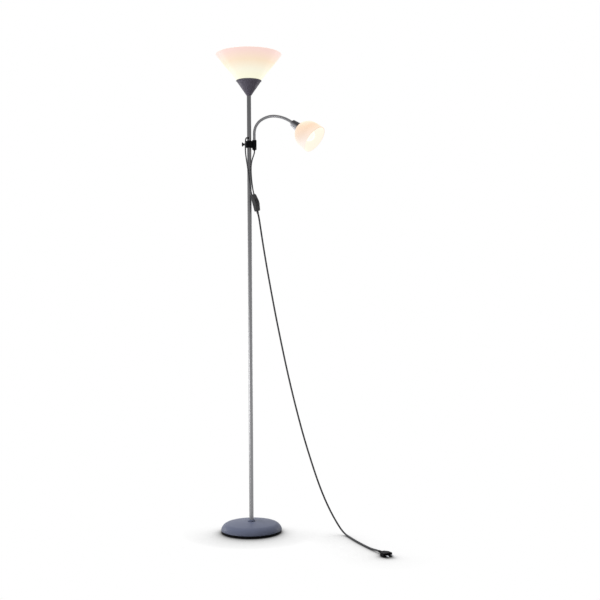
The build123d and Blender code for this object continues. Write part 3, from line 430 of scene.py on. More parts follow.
def glowing_shade(name, start, direction, reach, stops):
    """A translucent white shade lit from inside, whose glow fades through stops."""
    material, shader = new_material(name)
    shader.inputs["Base Color"].default_value = (*colours().shade, 1)
    shader.inputs["Roughness"].default_value = SHADE_ROUGHNESS
    shader.inputs["Specular IOR Level"].default_value = SHADE_SPECULAR
    shader.inputs["Emission Strength"].default_value = GLOW_STRENGTH
    return fade_colour(material, "Emission Color", start, direction, reach, stops)


def glow_inside(shade, first, count):
    """Gives a turned shade's inside, count rings of its outline from the first on, an even glow."""
    name, tint = "inside_glow", colours().inside_glow
    if name not in bpy.data.materials:
        glowing_shade(name, (0, 0, 0), (0, 0, 1), 1.0, [(0.0, tint), (1.0, tint)])
    shade.data.materials.append(bpy.data.materials[name])
    ring = np.arange(len(shade.data.polygons)) // ROUND
    inside = (ring >= first) & (ring < first + count)
    shade.data.polygons.foreach_set("material_index", inside.astype(np.int32))


def powder_coat(name, shown):
    return finish(name, shown, 0.45, coat=0.03, grain=900, bump=0.012, spread=0.08, specular=0.1)


def slate_paint():
    return powder_coat("slate_paint", colours().slate)


# The cup's lighter copy of the slate paint is painted light
def cup_paint():
    return powder_coat("cup_paint", colours().cup)


def pole_paint():
    """Grey paint with a painted reflection in its colour: lighter low down for the bright floor,
    darker high up.
    """
    name, tint = "grey_paint", colours()
    if name in bpy.data.materials:
        return bpy.data.materials[name]
    tones = [(0.0, tint.pole_low_painted_reflection), (1.0, tint.pole_high_painted_reflection)]
    material = finish(
        name, tint.pole_low_painted_reflection, 0.28, metallic=0.9, grain=900, bump=0.003, spread=0.05, specular=0.4
    )
    foot = (0, 0, POLE_REFLECTION_FOOT)
    return fade_colour(material, "Base Color", foot, (0, 0, 1), POLE_REFLECTION_REACH, tones)


def black_plastic():
    return finish("moulded_black", colours().black, 0.55, grain=1500, bump=0.012, specular=0.05)


def switch_plastic():
    return finish("switch_plastic", colours().housing, 0.45, grain=1500, bump=0.03, specular=0.3)


def lead_sheath():
    return finish("lead_sheath", colours().lead, 0.55, grain=700, bump=0.03, specular=0.25)


def bright_metal():
    shown = colours().steel
    return finish("bright_metal", shown, 0.28, metallic=1.0, grain=300, bump=0.004, spread=0.08)


def zinc_steel():
    return finish("zinc_plate", colours().zinc, 0.35, metallic=1.0, grain=600, bump=0.01)


def brass():
    return finish("yellow_brass", colours().brass, 0.32, metallic=1.0, grain=500, bump=0.006)


def felt():
    shown = colours().felt
    return finish("dark_felt", shown, 0.95, grain=1800, bump=0.25, spread=0.05, specular=0.2)


def cast_iron():
    return finish("cast_iron", colours().iron, 0.7, metallic=0.6, grain=350, bump=0.2)


def lit_glass():
    """Frosted glass, lit from inside."""
    name, tint = "lit_glass", colours()
    if name in bpy.data.materials:
        return bpy.data.materials[name]
    material = finish(name, tint.glass, 0.35, bump=0.0)
    shader = material.node_tree.nodes["Principled BSDF"]
    shader.inputs["Emission Color"].default_value = (*tint.bulb_glow, 1)
    shader.inputs["Emission Strength"].default_value = GLOW_STRENGTH
    return material


SWITCH_NODES = ["switch_back", "switch_front", "uplight_rocker", "reading_rocker"]
SLOT_FINISHES = {
    "base_paint": slate_paint,
    "pole_paint": pole_paint,
    "felt": felt,
    "black_plastic": black_plastic,
    "iron": cast_iron,
    "zinc_steel": zinc_steel,
    "brass": brass,
    "lead_rubber": lead_sheath,
    "chrome": bright_metal,
    "neck_chrome": bright_metal,
    "nickel": zinc_steel,
}


def dress(piece, body, slot, material, *nodes):
    """Puts a piece on its body, in place of these CAD nodes, with its finish."""
    piece.data.materials.append(material)
    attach(piece, body)
    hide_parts(*nodes)
    return piece


class LampOperator(bpy.types.Operator):
    """What the lamp's operators share"""

    bl_options = {"REGISTER", "UNDO"}

    @property
    def sizes(self):
        return bpy.context.scene.lamp_sizes


# --- Base and pole ----------------------------------------------------------------------------

BASE_RADIUS = 115 * MM
EDGE_RISE = 0.5 * MM  # of the CAD dome's straight edge, below its shoulder
STUD_HOLE = 5.3 * MM  # radius round the stud, in the dome and the cup
SHOULDER_STEPS, CROWN_STEPS = 40, 50
COLLAR_BORE, COLLAR_TOP = 8.05 * MM, 11.5 * MM  # radii
COLLAR_INSET = 0.3 * MM  # of its foot, inside its widest ring
COLLAR_FOOT_ROUND, COLLAR_TOP_ROUND = 0.8 * MM, 0.9 * MM
COLLAR_FOOT_STEPS, COLLAR_TOP_STEPS = 5, 7
COLLAR_RIM = 0.3  # share of its height up to its slope
COLLAR_LEAN = 40  # degrees, how far its slope faces up
POLE_SECTIONS = 4
POLE_RINGS = 9  # points up the outside of a tube
POLE_SHARP = 25  # degrees, keeps its seams crisp


def dome_curve(radius, height, edge, shoulder, lift, inset, stop):
    """The dome's (r, h) curve, set in by inset, up to the radius stop.

    It is a shoulder arc from lift above the edge, then a crown arc. The crown's radius is the one
    that meets the shoulder without a corner and is level on the axis.
    """
    ring = radius - shoulder
    tilt = 2 * math.atan2(height - edge - shoulder, ring)
    crown = shoulder + ring / math.sin(tilt)
    first = math.degrees(math.asin(lift / (shoulder - inset)))
    join = 90 - math.degrees(tilt)
    last = math.degrees(math.acos(stop / (crown - inset)))
    shoulder_arc = arc((ring, edge), shoulder - inset, first, join, SHOULDER_STEPS)
    crown_arc = arc((0, height - crown), crown - inset, join, last, CROWN_STEPS)
    return np.vstack([shoulder_arc, crown_arc[1:]])


class LAMP_OT_base(LampOperator):
    """Make the base's painted dome and the pole's collar"""

    bl_idname = "lamp.base"
    bl_label = "Base"

    def execute(self, context):
        self.dome()
        self.collar()
        return {"FINISHED"}

    def dome(self):
        edge, top = low("base_shell")[2] + EDGE_RISE, high("base_shell")[2]
        shape = (BASE_RADIUS, top, edge, self.sizes.shoulder, self.sizes.base_lift)
        outer = dome_curve(*shape, 0, STUD_HOLE)
        inner = dome_curve(*shape, self.sizes.base_wall, STUD_HOLE)[::-1]
        middle = (outer[0] + inner[-1]) / 2
        bead = arc(middle, np.linalg.norm(outer[0] - middle), 180, 360, BEAD_STEPS)[1:-1]
        dome = lathe("base_dome", np.vstack([outer, inner, bead]))
        dress(dome, "stand", "base_paint", slate_paint(), "base_shell")

    def collar(self):
        foot, top = low("base_collar")[2], high("base_collar")[2]
        wide, slope_foot = high("base_collar")[0], foot + (top - foot) * COLLAR_RIM
        lower, upper = COLLAR_FOOT_ROUND, COLLAR_TOP_ROUND
        outline = np.vstack(
            [
                [(COLLAR_BORE, foot), (wide - COLLAR_INSET, foot)],
                arc((wide - lower, slope_foot), lower, 0, COLLAR_LEAN, COLLAR_FOOT_STEPS),
                arc((COLLAR_TOP - upper, top - upper), upper, COLLAR_LEAN, 90, COLLAR_TOP_STEPS),
                [(COLLAR_BORE, top)],
            ]
        )
        collar = lathe("pole_collar", outline)
        dress(collar, "stand", "base_paint", slate_paint(), "base_collar")


class LAMP_OT_pole(LampOperator):
    """Make the pole's four painted tubes"""

    bl_idname = "lamp.pole"
    bl_label = "Pole"

    def execute(self, context):
        radius = high("pole_section_1")[0]
        bore, seam = radius - self.sizes.pole_wall, self.sizes.seam
        for number in range(1, POLE_SECTIONS + 1):
            node = f"pole_section_{number}"
            foot, top = low(node)[2], high(node)[2]
            heights = np.linspace(foot + seam, top - seam, POLE_RINGS)
            outside = np.stack([np.full(POLE_RINGS, radius), heights], -1)
            below = [(bore, foot), (radius - seam, foot)]
            above = [(radius - seam, top), (bore, top)]
            outline = np.vstack([below, outside, above])
            tube = lathe(f"pole_tube_{number}", outline, sharp=POLE_SHARP)
            dress(tube, "stand", "pole_paint", pole_paint(), node)
        return {"FINISHED"}


# --- Uplight ----------------------------------------------------------------------------------

CUP_FOOT, CUP_RIM = 8.3 * MM, 47.5 * MM  # radii
CUP_BEAD = 0.8 * MM
CUP_BEAD_START = -60  # degrees, where the cone runs into its bead
CUP_FLOOR = 1.5 * MM
CUP_EDGE = 0.5 * MM  # from its foot up to the first ring of its cone
CUP_STEPS = 12
SHADE_RIM, SHADE_BORE = 125 * MM, 19.4 * MM  # radii
SHADE_GAP = 0.3 * MM  # between shade and cup
SHADE_STEPS = 30
UPLIGHT_GLOW = [(0.05, "foot_glow"), (0.3, "low_glow"), (0.6, "middle_glow"), (0.9, "rim_glow")]
BULB_NECK = 13.2 * MM  # radius
BULB_SWELL = 1.35  # above 1, a bulb's neck stays slim for longer
BULB_STEPS = 30


def bulb_curve(neck, globe, length):
    """A bulb's (r, h) curve: its neck swells into a globe that its tip closes.

    Up to the globe's widest ring the radius is neck + (globe - neck) sin(pi w / 2), with
    w = v^2 (3 - 2 v), v = u^BULB_SWELL and u the share of the way up.
    """
    widest = length - globe
    share = np.linspace(0, 1, BULB_STEPS)
    swell = share**BULB_SWELL
    swell = swell * swell * (3 - 2 * swell)
    radii = neck + (globe - neck) * np.sin(swell * math.pi / 2)
    neck_curve = np.stack([radii, share * widest], -1)
    return np.vstack([[(0, 0)], neck_curve, arc((0, widest), globe, 0, 90, BULB_STEPS)[1:]])


def level_wall(wall, slope):
    """A cone's wall measured level, from its thickness and its slope, radius over height."""
    return wall * math.hypot(1, slope)


class LAMP_OT_uplight(LampOperator):
    """Make the uplight's cup, shade and bulb"""

    bl_idname = "lamp.uplight"
    bl_label = "Uplight"

    def execute(self, context):
        foot, rim = low("uplight_cup")[2], high("uplight_cup")[2]
        slope = (CUP_RIM - CUP_FOOT) / (rim - foot)
        skin = level_wall(self.sizes.cup_wall, slope)
        self.cup(foot, rim, slope, skin)
        self.shade(rim, CUP_RIM - skin - SHADE_GAP)
        self.bulb()
        return {"FINISHED"}

    def cup(self, foot, rim, slope, skin):
        cone = (
            (CUP_FOOT + slope * CUP_EDGE, foot + CUP_EDGE),
            (CUP_RIM - slope * 3 * CUP_BEAD, rim - 3 * CUP_BEAD),
        )
        outline = np.vstack(
            [
                [(STUD_HOLE, foot), (CUP_FOOT, foot)],
                np.linspace(*cone, CUP_STEPS),
                arc((CUP_RIM, rim - CUP_BEAD), CUP_BEAD, CUP_BEAD_START, 90, BEAD_STEPS),
                [
                    (CUP_RIM - skin, rim),
                    (CUP_FOOT + slope * CUP_FLOOR - skin, foot + CUP_FLOOR),
                    (STUD_HOLE, foot + CUP_FLOOR),
                ],
            ]
        )
        cup = lathe("uplight_metal_cup", outline)
        dress(cup, "stand", "base_paint", cup_paint(), "uplight_cup")

    def shade(self, rim, rim_radius):
        """The cone, rim_radius wide where it passes the cup's rim."""
        foot, top = low("uplight_shade")[2], high("uplight_shade")[2]
        wall = self.sizes.shade_wall
        slope = (SHADE_RIM - rim_radius) / (top - rim)
        foot_radius = rim_radius - slope * (rim - foot)
        skin = level_wall(wall, slope)
        lip_height = top - wall / 2
        heights = np.linspace(foot, lip_height, SHADE_STEPS)
        outside = np.stack([foot_radius + slope * (heights - foot), heights], -1)
        middle = (SHADE_RIM - skin / 2 - slope * wall / 2, lip_height)
        lip = arc(middle, wall / 2, 0, 180, BEAD_STEPS)[1:-1]
        heights = np.linspace(lip_height, foot + wall, SHADE_STEPS)
        inside = np.stack([foot_radius - skin + slope * (heights - foot), heights], -1)
        first, last = [(SHADE_BORE, foot)], [(SHADE_BORE, foot + wall)]
        shade = lathe("uplight_cone", np.vstack([first, outside, lip, inside, last]))
        stops = [(share, getattr(colours(), name)) for share, name in UPLIGHT_GLOW]
        glow = glowing_shade("uplight_glow", (0, 0, rim), (0, 0, 1), top - rim, stops)
        dress(shade, "stand", "shade_plastic", glow, "uplight_shade")
        glow_inside(shade, len(outside) + len(lip) + 1, len(inside))

    def bulb(self):
        foot, top = low("uplight_bulb")[2], high("uplight_bulb")[2]
        curve = bulb_curve(BULB_NECK, high("uplight_bulb")[0], top - foot)
        bulb = lathe("uplight_globe", curve, origin=(0, 0, foot), closed=False)
        dress(bulb, "stand", "bulb_glass", lit_glass(), "uplight_bulb")


# --- Gooseneck --------------------------------------------------------------------------------

HOLDER_REACH = 19.6 * MM  # from the pole's axis to the neck's foot
NECK_FOOT = high("clamp_body")[2] - 17 * MM  # the hose stands that deep in its holder
NECK_TAIL = 5 * MM  # of the hose inside the head's cap
NECK_HEADING = math.radians(-27)  # about Z from +X
NECK_OUT = np.array([math.cos(NECK_HEADING), math.sin(NECK_HEADING), 0])
NECK_SIDE = np.cross(UP, NECK_OUT)
NECK_STRAIGHT = 42.7 * MM
NECK_ARCS = [(53.7 * MM, 62.6), (98.2 * MM, 35.6), (159 * MM, 29.0)]  # radius, turn in degrees
NECK_LENGTH = sum((r * math.radians(turn) for r, turn in NECK_ARCS), NECK_STRAIGHT)
NECK_SAMPLES = 4000  # tried along the neck for the one nearest a joint
NECK_JOINTS = 7
BEND_REACH = 9 * MM  # how far on each side of a joint a point of the neck's line is read
HOSE_SIDES = 40
HOSE_STEP = 0.32 * MM  # from one ring of the hose to the next
RIDGE_SWELL, RIDGE_POWER = 1.9, 0.8  # a ridge is swell sin(pi u)^power high, with its top cut at 1


def neck_line(travel):
    """Points and directions at these travels along the neck: straight up, then ever wider arcs.

    An arc of radius r from climb c turns by a = travel / r, and moves out by
    r (sin c - sin(c - a)) and up by r (cos(c - a) - cos c). Past the last arc the line is straight.
    """
    left = np.asarray(travel, float).copy()
    climb = np.full_like(left, math.pi / 2)
    straight = np.minimum(left, NECK_STRAIGHT)
    reach, rise = np.zeros_like(left), NECK_FOOT + straight
    left = left - straight
    for radius, turn in NECK_ARCS:
        step = np.clip(left, 0, radius * math.radians(turn))
        after = climb - step / radius
        reach = reach + radius * (np.sin(climb) - np.sin(after))
        rise = rise + radius * (np.cos(after) - np.cos(climb))
        climb = after
        left = left - step
    reach, rise = reach + left * np.cos(climb), rise + left * np.sin(climb)
    points = np.array([HOLDER_REACH, 0, 0]) + NECK_OUT * reach[:, None] + UP * rise[:, None]
    return points, NECK_OUT * np.cos(climb)[:, None] + UP * np.sin(climb)[:, None]


def neck_travel(point):
    """How far along the neck its line passes closest to a point."""
    travel = np.linspace(0, NECK_LENGTH, NECK_SAMPLES)
    return travel[np.argmin(np.linalg.norm(neck_line(travel)[0] - point, axis=1))]


class LAMP_OT_gooseneck(LampOperator):
    """Make the gooseneck's ridged hose, in one length for each of its seven joints"""

    bl_idname = "lamp.gooseneck"
    bl_label = "Gooseneck"

    def execute(self, context):
        names = [f"neck_{'side' if n % 2 else 'bend'}_{n // 2 + 1}" for n in range(NECK_JOINTS)]
        joints = [joint_place(name) for name in names]
        travels = [neck_travel(place) for place, _, _ in joints]
        middles = [(before + after) / 2 for before, after in zip(travels, travels[1:])]
        cuts = [0.0, *middles, NECK_LENGTH + NECK_TAIL]
        crest, root, pitch = self.sizes.neck_crest, self.sizes.neck_root, self.sizes.ridge_pitch
        turn = np.linspace(0, 1, HOSE_SIDES, endpoint=False)
        for index, (_, parent, child) in enumerate(joints):
            number, (start, end) = index + 1, cuts[index : index + 2]
            travel = np.linspace(start, end, round((end - start) / HOSE_STEP) + 1)
            points, tangents = neck_line(travel)
            phase = (travel[:, None] / pitch - turn[None]) % 1
            ridge = np.clip(RIDGE_SWELL * np.sin(np.pi * phase) ** RIDGE_POWER, 0, 1)
            radii = root + (crest - root) * ridge
            hose = along(points, tangents, NECK_SIDE, radii, f"hose_length_{number}")
            hose.data.materials.append(bright_metal())
            reach = np.array([-BEND_REACH, BEND_REACH])
            before, after = neck_line(travels[index] + reach)[0]
            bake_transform(hose)
            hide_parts(f"neck_link_{number}", f"neck_link_{number + 1}", "neck_wire")
        return {"FINISHED"}


# --- Reading head -----------------------------------------------------------------------------

HEAD_PLACE, HEAD_AXIS = (values[0] for values in neck_line(np.array([NECK_LENGTH])))
CAP_BACK, CAP_FRONT, CAP_BORE = 12.5 * MM, 17 * MM, 6.6 * MM  # radii
CAP_LENGTH, CAP_WALL, CAP_ROUND = 34 * MM, 1 * MM, 2.5 * MM
CAP_ROUND_STEPS, CAP_SIDE_STEPS = 10, 8
CAP_REFLECTION_FALL = unit(-UP - 0.55 * HEAD_AXIS)  # the way the cap's painted floor reflection faces
# where the cap's painted reflection starts behind the cap, and how far it runs from dark to pale
CAP_REFLECTION_BACK, CAP_REFLECTION_REACH = 4 * MM, 9 * MM
BELL_END = 115 * MM
BELL_BORE = 12.4 * MM  # radius
BELL_BEND, BELL_OFFSET = 60 * MM, -8 * MM  # the bowl's arc and its centre's place off the axis
BELL_FLARE = 2.5  # degrees, the skirt's slope
BOWL_STEPS, SKIRT_STEPS = 40, 12
WARM_ALONG, WARM_ABOVE = 60 * MM, 45 * MM  # where the shade's glow is warmest
WARM_FALL, WARM_REACH = (0.15, 0.1, -1.0), 90 * MM
WARM_SHARE = 0.35  # of that reach, before the glow starts to pale
GLOBE_FOOT, GLOBE_NECK, GLOBE_RADIUS, GLOBE_LENGTH = 51.8 * MM, 7 * MM, 22.5 * MM, 55.5 * MM


def turned_on_head(name, outline, **options):
    return lathe(name, outline, origin=HEAD_PLACE, axis=HEAD_AXIS, side=NECK_SIDE, **options)


def polished_cap():
    """Polished metal with a painted reflection in its colour: dark towards the room above, pale
    towards the floor below.
    """
    name, tint = "polished_cap", colours()
    if name in bpy.data.materials:
        return bpy.data.materials[name]
    tones = [(0.0, tint.cap_dark_painted_reflection), (1.0, tint.cap_light_painted_reflection)]
    material = finish(
        name, tint.cap_light_painted_reflection, 0.24, metallic=1.0, grain=300, bump=0.002, spread=0.05
    )
    start = (HEAD_PLACE - CAP_REFLECTION_FALL * CAP_REFLECTION_BACK).tolist()
    fall = CAP_REFLECTION_FALL.tolist()
    return fade_colour(material, "Base Color", start, fall, CAP_REFLECTION_REACH, tones)


def bell_curve(inset, start, end):
    """The reading shade's (r, h) curve, set in by inset: an arc from the cap, then a skirt."""
    centre = CAP_LENGTH + math.sqrt(BELL_BEND**2 - (CAP_FRONT - BELL_OFFSET) ** 2)
    begin = -math.degrees(math.asin((centre - start) / (BELL_BEND - inset)))
    bowl = arc((BELL_OFFSET, centre), BELL_BEND - inset, begin, -BELL_FLARE, BOWL_STEPS)
    radius, height = bowl[-1]
    steps = np.linspace(height, end, SKIRT_STEPS)[1:]
    skirt = np.stack([radius + (steps - height) * math.tan(math.radians(BELL_FLARE)), steps], -1)
    return np.vstack([bowl, skirt])


class LAMP_OT_reading_head(LampOperator):
    """Make the reading light's cap, shade and bulb"""

    bl_idname = "lamp.reading_head"
    bl_label = "Reading head"

    def execute(self, context):
        self.cap()
        self.bell()
        curve = bulb_curve(GLOBE_NECK, GLOBE_RADIUS, GLOBE_LENGTH) + (0, GLOBE_FOOT)
        bulb = turned_on_head("reading_globe", curve, closed=False)
        dress(bulb, "head", "bulb_glass", lit_glass(), "reading_bulb")
        return {"FINISHED"}

    def cap(self):
        outline = np.vstack(
            [
                [(CAP_BORE, 0)],
                arc((CAP_BACK - CAP_ROUND, CAP_ROUND), CAP_ROUND, -90, 0, CAP_ROUND_STEPS),
                np.linspace((CAP_BACK, CAP_ROUND), (CAP_FRONT, CAP_LENGTH), CAP_SIDE_STEPS)[1:],
                [
                    (CAP_FRONT - CAP_WALL, CAP_LENGTH),
                    (CAP_BACK - CAP_WALL, CAP_ROUND),
                    (CAP_BACK - CAP_ROUND, CAP_WALL),
                    (CAP_BORE, CAP_WALL),
                ],
            ]
        )
        cap = turned_on_head("bright_cap", outline)
        dress(cap, "head", "chrome", polished_cap(), "head_cap")

    def bell(self):
        wall = self.sizes.bell_wall
        lip_height = BELL_END - wall / 2
        outer = bell_curve(0, CAP_LENGTH, lip_height)
        inner = bell_curve(wall, CAP_LENGTH + wall, lip_height)[::-1]
        middle = ((outer[-1, 0] + inner[0, 0]) / 2, lip_height)
        lip = arc(middle, wall / 2, 0, 180, BEAD_STEPS)[1:-1]
        first, last = [(BELL_BORE, CAP_LENGTH)], [(BELL_BORE, CAP_LENGTH + wall)]
        bell = turned_on_head("reading_bell", np.vstack([first, outer, lip, inner, last]))
        tint = colours()
        warm = (HEAD_PLACE + HEAD_AXIS * WARM_ALONG + UP * WARM_ABOVE).tolist()
        stops = [(0.0, tint.bell_warm), (WARM_SHARE, tint.bell_warm), (1.0, tint.bell_pale)]
        glow = glowing_shade("reading_glow", warm, unit(WARM_FALL).tolist(), WARM_REACH, stops)
        dress(bell, "head", "reading_plastic", glow, "reading_shade")
        glow_inside(bell, len(outer) + len(lip) + 1, len(inner))


# --- Leads ------------------------------------------------------------------------------------

# Control points of the leads in millimetres: from each light to the switch, and to the plug.
UPLIGHT_ROUTE = [
    (-5.75, -9.96, 1485),
    (-8.75, -15.15, 1485),
    (-11.5, -19.92, 1481),
    (-12.75, -22.08, 1473.5),
    (-12.9, -22.8, 1462),
    (-13.4, -20.8, 1447),
    (-13.2, -18.8, 1428),
    (-10.7, -17.4, 1407),
    (-7.4, -17, 1386),
    (-4, -17.4, 1361),
    (-0.9, -18.2, 1336),
    (2.6, -20.2, 1312),
    (5.4, -22.8, 1295),
    (6.78, -25.39, 1281.54),
    (9.03, -25.39, 1272.83),
]
READING_ROUTE = [
    (19.6, 0, 1437.7),
    (19.6, 0, 1432.2),
    (18, -2, 1424),
    (14.2, -5.8, 1413),
    (10.6, -9.4, 1400),
    (8, -11.8, 1385.5),
    (6.9, -13, 1369),
    (7.4, -13.4, 1348),
    (8.9, -13.6, 1327),
    (11, -14.3, 1308),
    (13, -15.3, 1294),
    (14.69, -16.61, 1283.59),
    (16.94, -16.61, 1274.88),
]
MAIN_ROUTE = [
    (32.52, -21, 1198.34),
    (34.77, -21, 1189.62),
    (36.6, -21.4, 1179.16),
    (39.2, -22, 1162.03),
    (42.7, -22.7, 1138.06),
    (50.2, -24, 1086.05),
    (64.6, -26, 996.06),
    (80.4, -28.2, 906.06),
    (96.7, -30.4, 816.07),
    (114.2, -32.6, 727.03),
    (132.6, -34.8, 637.04),
    (152.2, -37, 548),
    (174, -39.2, 458),
    (197.4, -41.3, 368.01),
    (223.6, -43.5, 280.05),
    (251.5, -45.6, 194.01),
    (275.6, -47.2, 132.06),
    (296.5, -48.6, 87),
    (316.5, -50, 49.97),
    (336.5, -54, 17.98),
    (353, -70.5, 3.35),
    (364.5, -103, 3.35),
    (376.5, -141, 3.35),
    (393.5, -188, 3.35),
    (411, -231, 3.35),
    (428.23, -271.3, 3.55),
    (439.83, -294.57, 5.15),
    (448.75, -312.47, 7.15),
    (455, -325, 7.15),
]
READING_SPLIT = 1397 * MM  # height where the reading lead's two lengths meet
UPPER_STRETCH = (1434 * MM, 1401 * MM)  # heights where a length passes from body to body
LOWER_STRETCH = (1394 * MM, 1290 * MM)
LEAD_SIDES = 16
LEAD_BEVEL, LEAD_STEPS = 6, 12  # of its curve


def lead_curve(name, route, radius):
    """A lead as a curve: its route's points control one quadratic NURBS spline."""
    curve = bpy.data.curves.new(name, "CURVE")
    curve.dimensions = "3D"
    curve.bevel_depth = radius
    curve.bevel_resolution = LEAD_BEVEL
    curve.use_fill_caps = True
    curve.resolution_u = LEAD_STEPS
    spline = curve.splines.new("NURBS")
    spline.points.add(len(route) - 1)
    points = np.hstack([np.array(route, float) * MM, np.ones((len(route), 1))])
    spline.points.foreach_set("co", points.ravel())
    spline.order_u = 3
    spline.use_endpoint_u = True
    piece = bpy.data.objects.new(name, curve)
    bpy.context.scene.collection.objects.link(piece)
    return piece


def spline_points(route):
    """Points read from the NURBS spline of a route."""
    piece = lead_curve("route_line", route, 0)
    bpy.context.view_layer.update()
    shown = piece.evaluated_get(bpy.context.evaluated_depsgraph_get())
    mesh = bpy.data.meshes.new_from_object(shown)
    points = np.zeros(len(mesh.vertices) * 3)
    mesh.vertices.foreach_get("co", points)
    curve = piece.data
    bpy.data.objects.remove(piece)
    bpy.data.curves.remove(curve)
    bpy.data.meshes.remove(mesh)
    return points.reshape(-1, 3)


def line_length(points):
    return float(np.linalg.norm(np.diff(points, axis=0), axis=1).sum())


def lead_tube(name, points, radius):
    """A lead as a tube round points."""
    tangents = np.gradient(points, axis=0)
    tangents /= np.linalg.norm(tangents, axis=1)[:, None]
    side = np.cross(tangents, FORWARD)
    side /= np.linalg.norm(side, axis=1)[:, None]
    return along(points, tangents, side, np.full((len(points), LEAD_SIDES), radius), name)


class LAMP_OT_leads(LampOperator):
    """Make the leads to the uplight, the reading light and the plug"""

    bl_idname = "lamp.leads"
    bl_label = "Leads"

    def execute(self, context):
        switch, plug = [*SWITCH_NODES, "switch_reliefs"], ["plug_body", "plug_pins"]
        branch, main = self.sizes.branch_lead, self.sizes.main_lead
        for name, route, radius, node, far_end, fittings in (
            ("uplight_cable", UPLIGHT_ROUTE, branch, "uplight_lead", "object", switch),
            ("mains_cable", MAIN_ROUTE, main, "main_lead", "plug", plug),
        ):
            lead = lead_curve(name, route, radius)
            dress(lead, "stand", "lead_rubber", lead_sheath(), node)
            line_length(spline_points(route))

        points = spline_points(READING_ROUTE)
        upper = points[points[:, 2] >= READING_SPLIT]
        lower = points[len(upper) - 1 :]
        for name, line, bodies, (start, end) in (
            ("reading_cable_upper", upper, ("clamp", "liner"), UPPER_STRETCH),
            ("reading_cable_lower", lower, ("liner", "stand"), LOWER_STRETCH),
        ):
            lead = lead_tube(name, line, branch)
            lead.data.materials.append(lead_sheath())
            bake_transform(lead)
            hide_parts("reading_lead")
        return {"FINISHED"}


class LAMP_OT_fittings(LampOperator):
    """Give the fittings that show as they are their finishes"""

    bl_idname = "lamp.fittings"
    bl_label = "Fittings"

    def execute(self, context):
        slots = {part["node"]: part["material_slot"] for part in frame["record"]["subparts"]}
        for node, piece in frame["nodes"].items():
            make = switch_plastic if node in SWITCH_NODES else SLOT_FINISHES.get(slots[node])
            if make is not None and not piece.hide_render:
                piece.data.materials.clear()
                piece.data.materials.append(make())
        return {"FINISHED"}


# --- Stage ------------------------------------------------------------------------------------

CAMERA_PLACE = (0.1881, -3.713, 0.8736)
CAMERA_ROLL = 0.351  # degrees, top towards +X
FOCAL_PIXELS = 984
PICTURE_PIXELS = 600
SENSOR = 36.0
FLOOR_REACH = 30.0
FLOOR_GREY = 0.4
WALL_LIGHT = 0.13  # of the room, on the lamp
SHADOW_REACH = 0.15  # how far from the object the floor's contact shadow ends
SHADOW_LEAN = math.radians(35)  # how far it leans to the camera's side
SHADOW_POWER = 2.6
SHADOW_SAMPLES = 16
LIGHT_AIM = np.array([0.1, 0, 0.9])
LIGHTS = (  # name, place, power, width, whether the lamp mirrors it
    ("top_light", (-0.5, -0.2, 3.4), 130, 1.2, False),
    ("front_light", (-2.2, -2.4, 1.2), 3, 1.2, False),
    ("low_left_light", (-1.9, -0.8, 0.25), 19, 1.0, True),
    ("left_rim_light", (-2.2, 1.4, 0.8), 12, 1.0, True),
    ("right_rim_light", (2.3, 1.7, 0.8), 10, 1.0, True),
)


def backdrop_light(tree, plain, shown):
    """Mixes a plain shader with the one that camera, mirror and through rays meet."""
    path = tree.nodes.new("ShaderNodeLightPath")
    seen_or_mirrored = math_node(tree, "MAXIMUM")
    any_ray = math_node(tree, "MAXIMUM")
    mix = tree.nodes.new("ShaderNodeMixShader")
    tree.links.new(path.outputs["Is Camera Ray"], seen_or_mirrored.inputs[0])
    tree.links.new(path.outputs["Is Glossy Ray"], seen_or_mirrored.inputs[1])
    tree.links.new(seen_or_mirrored.outputs[0], any_ray.inputs[0])
    tree.links.new(path.outputs["Is Transmission Ray"], any_ray.inputs[1])
    tree.links.new(any_ray.outputs[0], mix.inputs[0])
    tree.links.new(plain.outputs[0], mix.inputs[1])
    tree.links.new(shown.outputs[0], mix.inputs[2])
    return mix


